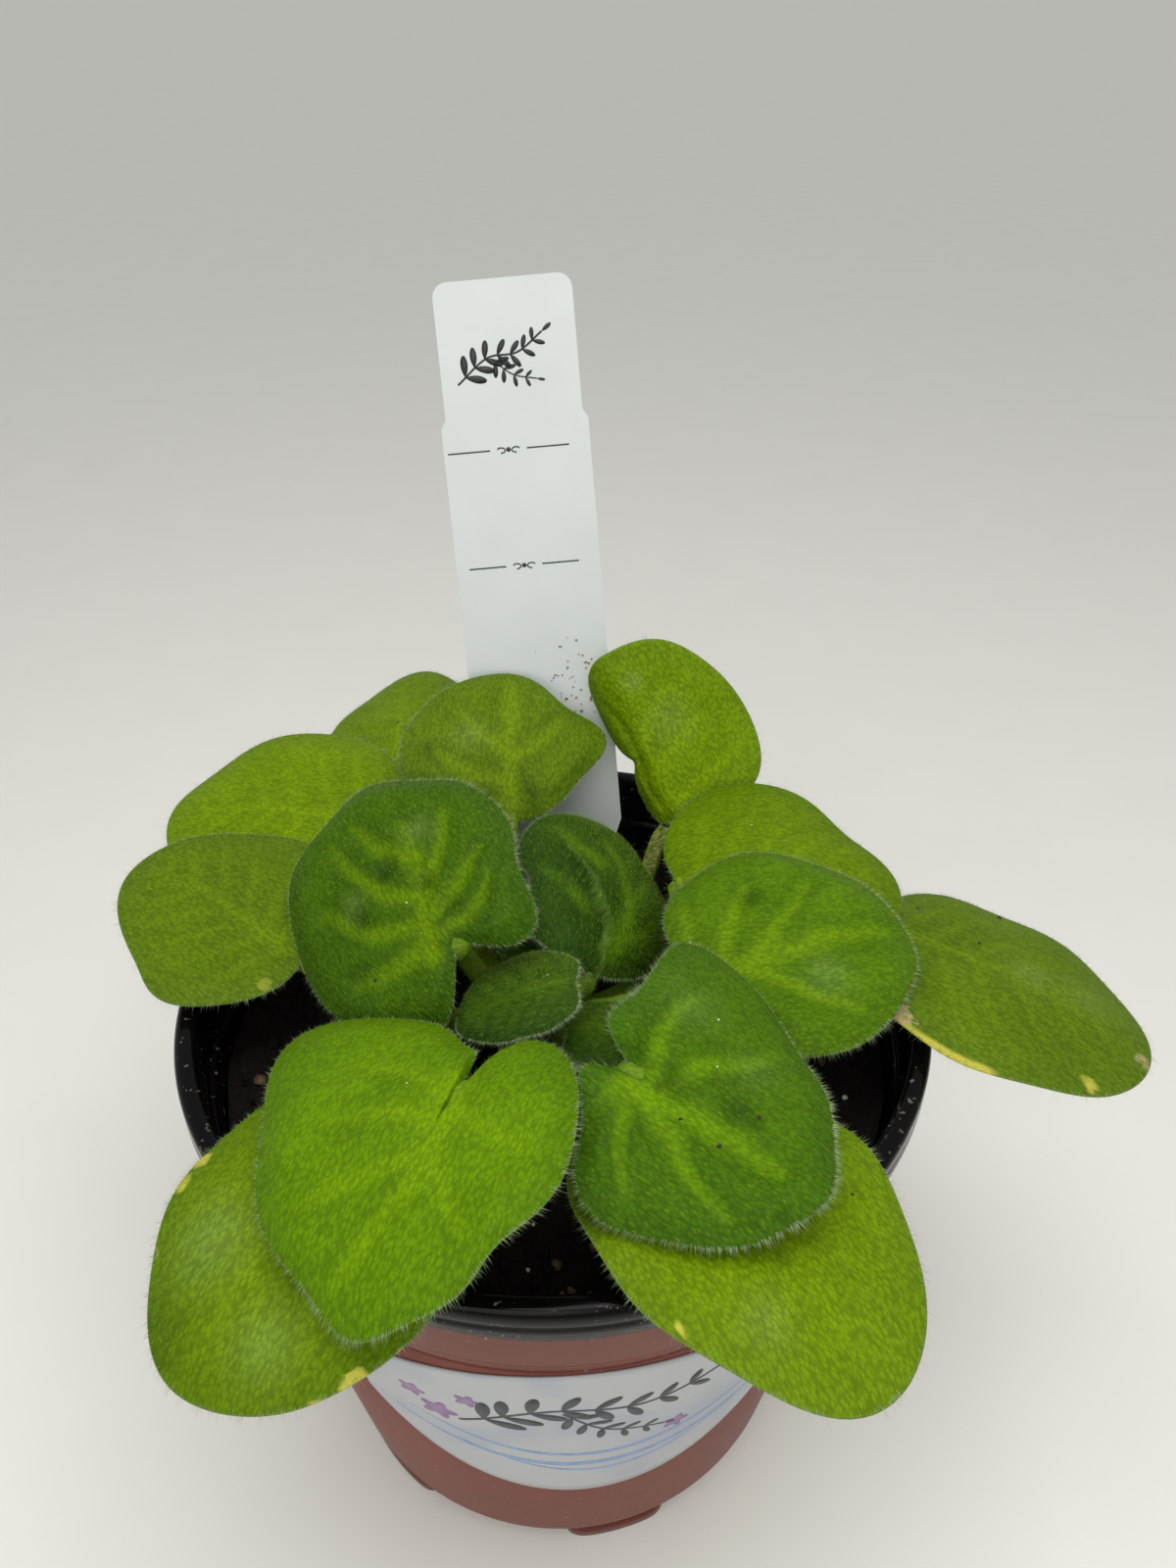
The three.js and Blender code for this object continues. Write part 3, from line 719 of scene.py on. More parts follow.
@dataclass(frozen=True)
class Crease:
    """A fold along a line on a blade: a step up on the line's left side, or a ridge or trough along it. A
    step gets a painted highlight along its edge and painted shadow on its lower side.
    """

    path: tuple[tuple[float, float], ...]
    height: float
    width: float
    one_sided: bool = False


@dataclass(frozen=True)
class Scrap:
    """A crumb that lies on a blade, dark or pale."""

    along: float
    across: float
    size: float
    pale: bool = False


CROWN_FOOT = (-0.5, 0.0, 67.5)
CROWN_BEND = (-0.5, 0.0, 80.5)
CROWN_TOP = (0.0, -8.5, 95.5)


def crown_line(share: Array) -> Array:
    """The crown's middle: a quadratic curve from its foot, past its bend, to its top."""
    foot, bend, top = (np.array(p) for p in (CROWN_FOOT, CROWN_BEND, CROWN_TOP))
    return quadratic(foot, bend, top, np.asarray(share, float)[..., None])


def line_distance(flat: Array, line: Array) -> tuple[Array, Array, Array]:
    """How places lie about a broken line.

    Each place takes the segment nearest to it; the side is the sign of the cross product with it.

    Args:
        flat: places, one pair a row.
        line: the line's points.

    Returns:
        The distance, the side (1 to the left, -1 to the right) and the share of the line passed.
    """
    step = np.diff(line, axis=0)
    offset = flat[:, None] - line[:-1]
    share = np.clip((offset * step).sum(-1) / (step**2).sum(-1), 0, 1)
    gap = offset - share[..., None] * step
    distance = np.hypot(gap[..., 0], gap[..., 1])
    best = distance.argmin(1)
    rows = np.arange(len(flat))
    cross = step[best, 0] * offset[rows, best, 1] - step[best, 1] * offset[rows, best, 0]
    return distance[rows, best], np.where(cross >= 0, 1.0, -1.0), (best + share[rows, best]) / len(step)


@dataclass(frozen=True)
class Leaf:
    """One leaf with its stalk, in millimetres and degrees, with the same sizes as its solid."""

    name: str
    joint: Point
    heading: float
    climb: float
    roll: float
    length: float
    left: float
    right: float
    droop: float
    cup_left: float
    cup_right: float
    seat: float
    stalk: float
    ruffle: float
    tone: Tone
    quilt: float = 0.5
    lobe: float = 0.1
    notch: float = 0.42
    point: float = 0.04
    fold_left: float = 0.0
    bulges: tuple[tuple[float, ...], ...] = ()
    via: tuple[Point, ...] | None = None
    crowding: float = 0.3
    young: bool = False
    down: float = 4.0
    fringe: float = 4.0
    drawn: tuple[tuple[tuple[float, float], ...], ...] = ()
    creases: tuple[Crease, ...] = ()
    marks: tuple[Mark, ...] = ()
    scraps: tuple[Scrap, ...] = ()
    yellow_rim: tuple[float, float] | None = None
    brown_stalk: float = 0.0
    vein_strength: float = 0.72
    # how strongly shade is painted on the sides of the veins
    flank_shade_strength: float = 0.45

    # the outline's middle as a share of the length, and the bells of tip and bulges in radians
    MIDDLE = 0.42
    TIP_WIDTH = 0.38
    BULGE_WIDTH = 0.4

    # millimetres, and shares of the way out to the margin: where the edge rounds off, and over how much
    THICKNESS = 1.0
    RIM_THICKNESS = 0.7
    HOLLOW_DEPTH = 1.2
    RIM_START = 0.955
    RIM_SPAN = 0.0451

    # side veins leave the midrib at these shares of the length and end at these angles of the margin in
    # degrees, and the trough round a vein is so many times as wide as the vein
    VEIN_STARTS = (0.01, 0.03, 0.1, 0.2, 0.33, 0.48, 0.64, 0.79)
    VEIN_ENDS = (152, 126, 102, 80, 60, 42, 27, 14)
    TROUGH = 1.9

    # the stalk's grid, its hairs and the steps that bear them, the shares of the blade's length that its
    # rib passes under, how much of its radius it loses there, and how much flatter its top is
    STALK_STEPS = 44
    STALK_SIDES = 14
    STALK_HAIRS = 700
    HAIRY_STEPS = 34
    RIB_SHARES = (0.1, 0.28, 0.5, 0.7)
    STALK_TAPER = 0.62
    STALK_GROOVE = 0.35

    # the shortest and the longest hair, the root radius, the lean, and the number of the finish
    DOWN_HAIRS = ((0.35, 0.85), 0.02, 0.9, 1)
    FRINGE_HAIRS = ((0.6, 1.6), 0.024, 2.6, 2)

    def margin(self, angle: Array) -> Array:
        """The outline: two half ellipses, plus bells for tip and bulges, minus a bell for the heart's notch.

        Args:
            angle: angles about the blade's middle in radians, from the tip round its left side.

        Returns:
            The outline's radius at each angle.
        """
        back = (self.MIDDLE + self.lobe) * self.length
        front = (1 - self.MIDDLE - self.point) * self.length
        ahead = np.where(np.cos(angle) >= 0, front, back)
        side = np.where(angle >= 0, self.left, self.right)
        radius = 1 / np.hypot(np.cos(angle) / ahead, np.sin(angle) / side)
        radius += self.point * self.length * hump(angle, self.TIP_WIDTH)
        radius -= self.lobe * self.length * hump(np.pi - np.abs(angle), self.notch)
        for degrees, amount, *width in self.bulges:
            away = wrapped(angle - math.radians(degrees))
            radius += amount * self.length * hump(away, width[0] if width else self.BULGE_WIDTH)
        return radius

    def axes(self) -> tuple[Array, Array, Array]:
        """The blade's own directions, turned by its heading, climb and roll.

        Returns:
            Unit vectors along the midrib, to the blade's left, and out of its upper face.
        """
        heading, climb, roll = (math.radians(v) for v in (self.heading, self.climb, self.roll))
        level = math.cos(climb)
        along = np.array([math.cos(heading) * level, math.sin(heading) * level, math.sin(climb)])
        flat_left = np.array([-math.sin(heading), math.cos(heading), 0.0])
        left = math.cos(roll) * flat_left + math.sin(roll) * np.cross(along, flat_left)
        return along, left, np.cross(along, left)

    @staticmethod
    def half_arc(cup: float, fold: float, width: float, across: Array) -> tuple[Array, Array]:
        """One side's section: a circular arc that starts at the fold's slope and falls by the cup.

        Args:
            cup: how far the arc turns down over the width, in degrees.
            fold: its slope at the midrib, in degrees.
            width: the half width.
            across: distances from the midrib along the arc.

        Returns:
            How far across and how far up each place is.
        """
        curl = math.radians(cup) if abs(cup) > 0.01 else 1e-4
        start = math.radians(fold)
        end = start - curl * across / width
        return width / curl * (math.sin(start) - np.sin(end)), width / curl * (np.cos(end) - math.cos(start))

    def bent(self, x: Array, y: Array, lift: Array) -> Array:
        """The blade's middle surface, raised by lift.

        The cross section is an arc on either side of the midrib, and the sections are carried round the
        larger arc that the midrib droops along.

        Args:
            x: flat places along the midrib.
            y: flat places across it.
            lift: how far each place is raised out of the surface.

        Returns:
            The points.
        """
        bend = math.radians(self.droop if abs(self.droop) > 0.01 else 0.01)
        turn = bend * x / self.length
        forward = self.length / bend * np.sin(turn)
        fall = self.length / bend * (1 - np.cos(turn))
        left_y, left_z = self.half_arc(self.cup_left, self.fold_left, self.left, np.abs(y))
        right_y, right_z = self.half_arc(self.cup_right, 0.0, self.right, np.abs(y))
        across = np.where(y >= 0, left_y, -right_y)
        height = np.where(y >= 0, left_z, right_z) + lift
        along, left, up = self.axes()
        place = (forward + height * np.sin(turn))[..., None] * along + across[..., None] * left
        return np.array(self.joint) + place + (height * np.cos(turn) - fall)[..., None] * up

    def spread(self, shares: Sequence[Pair]) -> Array:
        """Turns shares of the length and of either half width into flat places.

        Args:
            shares: pairs of shares, the second below 0 on the blade's right.

        Returns:
            The places.
        """
        pairs = np.array(shares, float)
        half = np.where(pairs[:, 1] >= 0, self.left, self.right)
        return np.stack([pairs[:, 0] * self.length, pairs[:, 1] * half], -1)

    def veins(self) -> list[tuple[Array, float, float]]:
        """The veins as flat curves.

        Where none are drawn, a midrib runs to near the tip, and each side vein leaves it and bends
        forward to the margin, as a quadratic curve whose middle point lies nearer the midrib's start.

        Returns:
            Each vein's places, its strength and its half width.
        """
        if self.drawn:
            lines = [catmull(self.spread(path), 16) for path in self.drawn]
            return [(line, self.vein_strength * (1.0 if k == 0 else 0.85), 2.1 if k == 0 else 1.7)
                    for k, line in enumerate(lines)]
        rib = np.stack([np.linspace(0, 0.95 * self.length, 12), np.zeros(12)], -1)
        curves = [(rib, 0.6 * self.vein_strength, 1.5)]
        for side, jitter in ((1, 0.0), (-1, 0.035)):
            for start, end in zip(self.VEIN_STARTS, self.VEIN_ENDS):
                angle = np.array(math.radians(side * end))
                reach = 0.92 * self.margin(angle)
                tip = np.array([self.MIDDLE * self.length + reach * np.cos(angle), reach * np.sin(angle)])
                root = np.array([(start + jitter * (start > 0.05)) * self.length, 0.0])
                middle = np.array([root[0] + 0.38 * (tip[0] - root[0]), 0.6 * tip[1]])
                t = np.linspace(0, 1, 12)[:, None]
                curves.append((quadratic(root, middle, tip, t), 0.34 * self.vein_strength, 1.2))
        return curves

    def relief(self, x: Array, y: Array, part: Array) -> tuple[Array, Array, Array]:
        """Height of the pockets between veins, how much each place belongs to a vein, and the painted shade
        beside it.

        The places are first shifted by a smooth noise, so that no vein is ruled. Height is one minus a
        bell of the distance to the nearest vein, fades out at the margin, and has gentle waves, the
        creases and the hollows added.

        Args:
            x: flat places along the midrib in millimetres.
            y: flat places across it in millimetres.
            part: their share of the way out to the margin.

        Returns:
            The height in millimetres, the vein value and the share of painted shade beside the veins, both
            from 0 to 1.
        """
        noise = SmoothNoise(SEED + sum(map(ord, self.name)))
        shift = np.stack([noise.at(x, y, 6.5), noise.at(x + 31, y + 17, 6.5)], -1)
        flat = (np.stack([x, y], -1) + 0.9 * shift).reshape(-1, 2)
        vein, trough, flank_shade = np.zeros(len(flat)), np.zeros(len(flat)), np.zeros(len(flat))
        for line, strength, width in self.veins():
            gap, _, passed = line_distance(flat, line)
            narrow = width * (1 - 0.45 * passed)
            beside = self.TROUGH * narrow
            vein = np.maximum(vein, strength * (1 - 0.5 * passed) * hump(gap, narrow))
            # the sides of each vein, a trough's width out, where shade is painted
            flank_shade = np.maximum(flank_shade, strength * (1 - 0.6 * passed) * hump(gap - beside, narrow))
            trough = np.maximum(trough, strength * (1 - 0.35 * passed) * hump(gap, beside))
        vein, trough, flank_shade = (v.reshape(x.shape) for v in (vein, trough, flank_shade * (1 - vein)))
        inner = smoothstep(1.02, 0.78, part)
        height = self.quilt * ((1 - trough) * inner - 0.3)
        height += (0.25 * noise.at(x + 5, y, 8.0) + 0.1 * noise.at(x, y + 9, 3.2)) * inner
        for crease in self.creases:
            gap, side, passed = line_distance(flat, catmull(self.spread(crease.path), 16))
            ends = np.sqrt(np.clip(np.sin(np.pi * np.clip(passed, 0.02, 0.98)), 0, 1))
            form = hump(gap, crease.width)
            if crease.one_sided:
                form = smoothstep(-0.35, 0.35, gap * side) * form
            height += crease.height * (ends * form).reshape(x.shape)
        for mark in self.marks:
            if mark.kind is Spot.HOLLOW:
                height -= self.HOLLOW_DEPTH * self.mark_strength(mark, x, y)
        inside = smoothstep(1.0, 0.75, part)
        return height, vein * inside, flank_shade * inside

    def mark_strength(self, mark: Mark, x: Array, y: Array) -> Array:
        """A mark's strength: a bell of the distance to its middle.

        Yellow and tan marks have a crisp ragged edge instead, as noise of 0.7 and 1.8 mm stretches and
        shrinks the distance.

        Args:
            mark: the mark.
            x: flat places along the midrib.
            y: flat places across it.

        Returns:
            The strength at each place.
        """
        middle = self.spread([(mark.along, mark.across)])[0]
        gap = np.hypot(x - middle[0], y - middle[1]) / mark.radius
        if mark.kind in (Spot.YELLOW, Spot.TAN):
            noise = SmoothNoise(SEED + len(self.name))
            gap = gap * (1 + 0.6 * noise.at(x, y, 1.8)) + 0.3 * noise.at(x + 7, y, 0.7)
            return mark.strength * smoothstep(1.25, 0.7, gap)
        return mark.strength * hump(gap, 1.0)

    def face(self, angle: Array, part: Array, side: Array, plain: bool = False) -> Array:
        """The skin: the middle surface with ruffle and relief, moved half the thickness along its normal.

        Args:
            angle: angles about the blade's middle.
            part: shares of the way out to the margin.
            side: 1 on the upper face, -1 on the lower, 0 between them.
            plain: leaves the relief out.

        Returns:
            The points.
        """
        reach = part * self.margin(angle)
        x, y = self.MIDDLE * self.length + reach * np.cos(angle), reach * np.sin(angle)
        away = np.minimum(1, np.abs(np.pi - np.abs(angle)) / 0.6)
        lift = self.ruffle * np.sin(6 * angle + self.length) * part**3 * away
        if not plain:
            lift = lift + self.relief(x, y, part)[0]
        here = self.bent(x, y, lift)
        step = 0.05
        normal = unit(np.cross(self.bent(x + step, y, lift) - here, self.bent(x, y + step, lift) - here))
        thick = self.THICKNESS + (self.RIM_THICKNESS - self.THICKNESS) * part**2
        edge = np.clip(part - self.RIM_START, 0, 1) / self.RIM_SPAN
        thick = thick * np.sqrt(np.clip(1 - edge**2, 0, 1))
        return here + (side * thick / 2)[..., None] * normal

    def spoke_angles(self, count: int) -> Array:
        """Angles round the blade, closer together by the notch than by the tip."""
        even = 2 * np.arange(count) / count - 1
        return np.pi * even + self.crowding * np.sin(np.pi * even)

    def blade(self) -> Shell:
        """The blade as rings from the upper face's middle, over the margin, to the lower face's middle.

        Returns:
            The shell, with its colour values and its flat places in millimetres.
        """
        spokes = 120 if self.young else 168
        out = np.linspace(0, 1, 24 if self.young else 40)[1:] ** 0.8 * self.RIM_START
        rim = np.array([0.975, 0.99, 1.0])
        parts = np.concatenate([out, rim, rim[-2::-1], out[::-3]])
        sides = np.concatenate([np.ones(len(out) + 2), [0], -np.ones(len(parts) - len(out) - 3)])
        angle, part = np.meshgrid(self.spoke_angles(spokes), parts)
        side = np.broadcast_to(sides[:, None], part.shape)
        rings = self.face(angle, part, side)
        pole = np.zeros(1)
        first, last = (self.face(pole, pole, np.array([s]))[0] for s in (1.0, -1.0))
        points, faces = closed_loft(rings, first, last)
        reach = part * self.margin(angle)
        x = np.append(self.MIDDLE * self.length + reach * np.cos(angle), [self.MIDDLE * self.length] * 2)
        y = np.append(reach * np.sin(angle), [0, 0])
        share = np.append(part, [0, 0])
        height, vein, flank_shade = self.relief(x, y, share)
        values = {
            "vein": vein,
            "rim": share,
            "under": np.append(side < 0, [0, 1]).astype(float),
            # raised places, which the material paints lighter as a highlight
            "swell": np.clip(height / max(self.quilt, 0.3), 0, 1),
            **self.blotches(x, y, np.append(angle, [0, 0]), share),
        }
        # painted shade on the sides of the veins
        values["dark"] += self.flank_shade_strength * flank_shade
        return Shell(points, faces[:, ::-1], values, np.stack([x, y], -1))

    def blotches(self, x: Array, y: Array, angle: Array, part: Array) -> dict[str, Array]:
        """How yellow, tan, dark and pale each place is: bells round the marks, a painted highlight and
        painted shadow along each one-sided crease, and a faded margin.

        Args:
            x: flat places along the midrib.
            y: flat places across it.
            angle: their angles about the blade's middle.
            part: their shares of the way out.

        Returns:
            The four values at each place.
        """
        found = {key: np.zeros(len(x)) for key in ("yellow", "tan", "dark", "pale")}
        for mark in self.marks:
            # a hollow is painted darker as shade, and a dark mark is painted shade
            key = "dark" if mark.kind is Spot.HOLLOW else mark.kind.value
            found[key] += self.mark_strength(mark, x, y)
        for crease in self.creases:
            if crease.one_sided:
                line = catmull(self.spread(crease.path), 16)
                gap, side, _ = line_distance(np.stack([x, y], -1), line)
                # a painted highlight along the step's raised edge, and painted shadow on its lower side
                found["pale"] += 0.35 * hump(gap * side - 0.25, 0.3)
                found["dark"] += (side < 0) * 0.9 * hump(gap, 2.0)
        if self.yellow_rim:
            start, end = (math.radians(v) for v in self.yellow_rim)
            within = smoothstep(start - 0.2, start, angle) * smoothstep(end + 0.2, end, angle)
            found["yellow"] += within * smoothstep(0.93, 0.99, part)
        return found

    def stalk_shell(self) -> Shell:
        """The stalk from the crown to the joint, carried on as the rib under the blade.

        Returns:
            The shell, with its colour values.
        """
        along, left, up = self.axes()
        heights = crown_line(np.linspace(0, 1, 61))
        seat = heights[np.abs(heights[:, 2] - self.seat).argmin()]
        joint = np.array(self.joint) - self.stalk * 0.55 * up
        span = np.linalg.norm(seat - joint)
        if self.via is None:
            outward = unit(np.array([joint[0] - seat[0], joint[1] - seat[1], 0.0]))
            leave = seat + outward * span * 0.4 + np.array([0, 0, span * 0.04])
            arrival = unit(np.array([along[0], along[1], max(along[2], 0.25)]))
            between = [leave, joint - arrival * span * 0.22]
        else:
            between = [np.array(p) for p in self.via]
        under = np.array(self.RIB_SHARES) * self.length
        rib = self.bent(under, np.zeros_like(under), np.full_like(under, -self.stalk * 0.6))
        path = catmull(np.array([seat, *between, joint, *rib]), self.STALK_STEPS)
        share = np.linspace(0, 1, self.STALK_STEPS)
        turning = span / (span + 0.7 * self.length)
        radii = self.stalk * (1 - self.STALK_TAPER * smoothstep(turning, 1, share))
        points, faces = tube(path, radii, self.STALK_SIDES, left, self.STALK_GROOVE)
        brown = self.brown_stalk
        shades = {"vein": 0.4 - 0.4 * brown, "rim": 0.0, "under": 0.3 - 0.3 * brown, "dark": 0.7 * brown}
        shades["tan"] = 0.36 * brown
        values = {key: np.full(len(points), amount) for key, amount in shades.items()}
        return Shell(points, faces, values, points[:, :2])

    def hairs(self) -> list[Shell]:
        """Short down over the upper face, and a fringe of longer hairs round the margin.

        Roots are random, evenly by area; each hair stands off the skin and leans outwards, with scatter.

        Returns:
            The down and the fringe.
        """
        rng = np.random.default_rng(SEED + int(self.length * 10 + self.heading))
        angles = np.linspace(-np.pi, np.pi, 721)
        weight = np.cumsum(self.margin(angles) ** 2)
        area = math.pi * float(np.mean(self.margin(angles) ** 2))
        count = int(area * self.down)
        angle = np.interp(rng.uniform(0, weight[-1], count), weight, angles)
        part = np.sqrt(rng.uniform(0, 0.97, count))
        down = self.hair_set(rng, angle, part, *self.DOWN_HAIRS)
        edge = int(2.4 * math.pi * math.sqrt(area / math.pi) * self.fringe)
        angle = rng.uniform(-np.pi, np.pi, edge)
        fringe = self.hair_set(rng, angle, rng.uniform(0.972, 0.998, edge), *self.FRINGE_HAIRS)
        return [down, fringe]

    def hair_set(
        self, rng: np.random.Generator, angle: Array, part: Array, lengths: Pair,
        width: float, lean: float, finish: int,
    ) -> Shell:
        """Spikes on the upper face, leaning outwards against the skin's normal.

        Args:
            rng: the leaf's random numbers.
            angle: the roots' angles about the blade's middle.
            part: their shares of the way out.
            lengths: the shortest and the longest hair.
            width: the hairs' root radius.
            lean: how strongly they lean.
            finish: index of their material.

        Returns:
            One shell that holds them all.
        """
        one = np.ones(len(angle))
        root = self.face(angle, part, one)
        outward = unit(self.face(angle, part + 0.01, one, True) - self.face(angle, part - 0.01, one, True))
        around = unit(self.face(angle + 0.02, part, one, True) - self.face(angle - 0.02, part, one, True))
        normal = unit(np.cross(outward, around))
        scatter = rng.normal(0, 0.33, (len(angle), 3))
        way = unit(normal + lean * outward + scatter)
        return spikes(root, way, rng.uniform(*lengths, len(angle)), np.full(len(angle), width), finish)

    def stalk_hairs(self, stalk: Shell) -> Shell:
        """Down on the stalk, standing straight off its skin.

        Args:
            stalk: the stalk's shell.

        Returns:
            One shell that holds all the hairs.
        """
        rng = np.random.default_rng(SEED + int(self.length * 7))
        count = self.STALK_HAIRS
        rings = stalk.points[:-2].reshape(self.STALK_STEPS, self.STALK_SIDES, 3)
        ring, side = rng.integers(0, self.HAIRY_STEPS, count), rng.integers(0, self.STALK_SIDES, count)
        root = rings[ring, side] + rng.normal(0, 0.15, (count, 3))
        way = unit(root - rings.mean(1)[ring] + rng.normal(0, 0.3, (count, 3)))
        root = rings.mean(1)[ring] + way * self.stalk * 0.93
        return spikes(root, way, rng.uniform(0.5, 1.1, count), np.full(count, 0.026), 1)

    def scrap_shells(self) -> list[Shell]:
        """Crumbs at the scraps' places, each resting on the upper face.

        Returns:
            One shell for each scrap.
        """
        shells = []
        for k, scrap in enumerate(self.scraps):
            flat = self.spread([(scrap.along, scrap.across)])[0] - [self.MIDDLE * self.length, 0.0]
            angle = np.array([math.atan2(flat[1], flat[0])])
            part = np.hypot(*flat) / self.margin(angle)
            centre = self.face(angle, part, np.ones(1))
            size = np.array([scrap.size])
            shells.append(scattered_lumps(centre, size, SEED + k, 4 if scrap.pale else 3, 0.5))
        return shells

    def make(self) -> None:
        """Builds the leaf as one piece and puts it in place of its solid."""
        stalk = self.stalk_shell()
        finishes = (LeafFinish(self.tone), DOWN, FRINGE, DARK_SCRAP, PALE_SCRAP)
        shells = [self.blade(), stalk, *self.hairs(), self.stalk_hairs(stalk), *self.scrap_shells()]
        used = finishes[: 1 + max(shell.finish for shell in shells)]
        slot = "young_leaf" if "young" in self.name else "grown_leaf"
        add_piece(self.name + "_velvet", shells, used, [self.name])


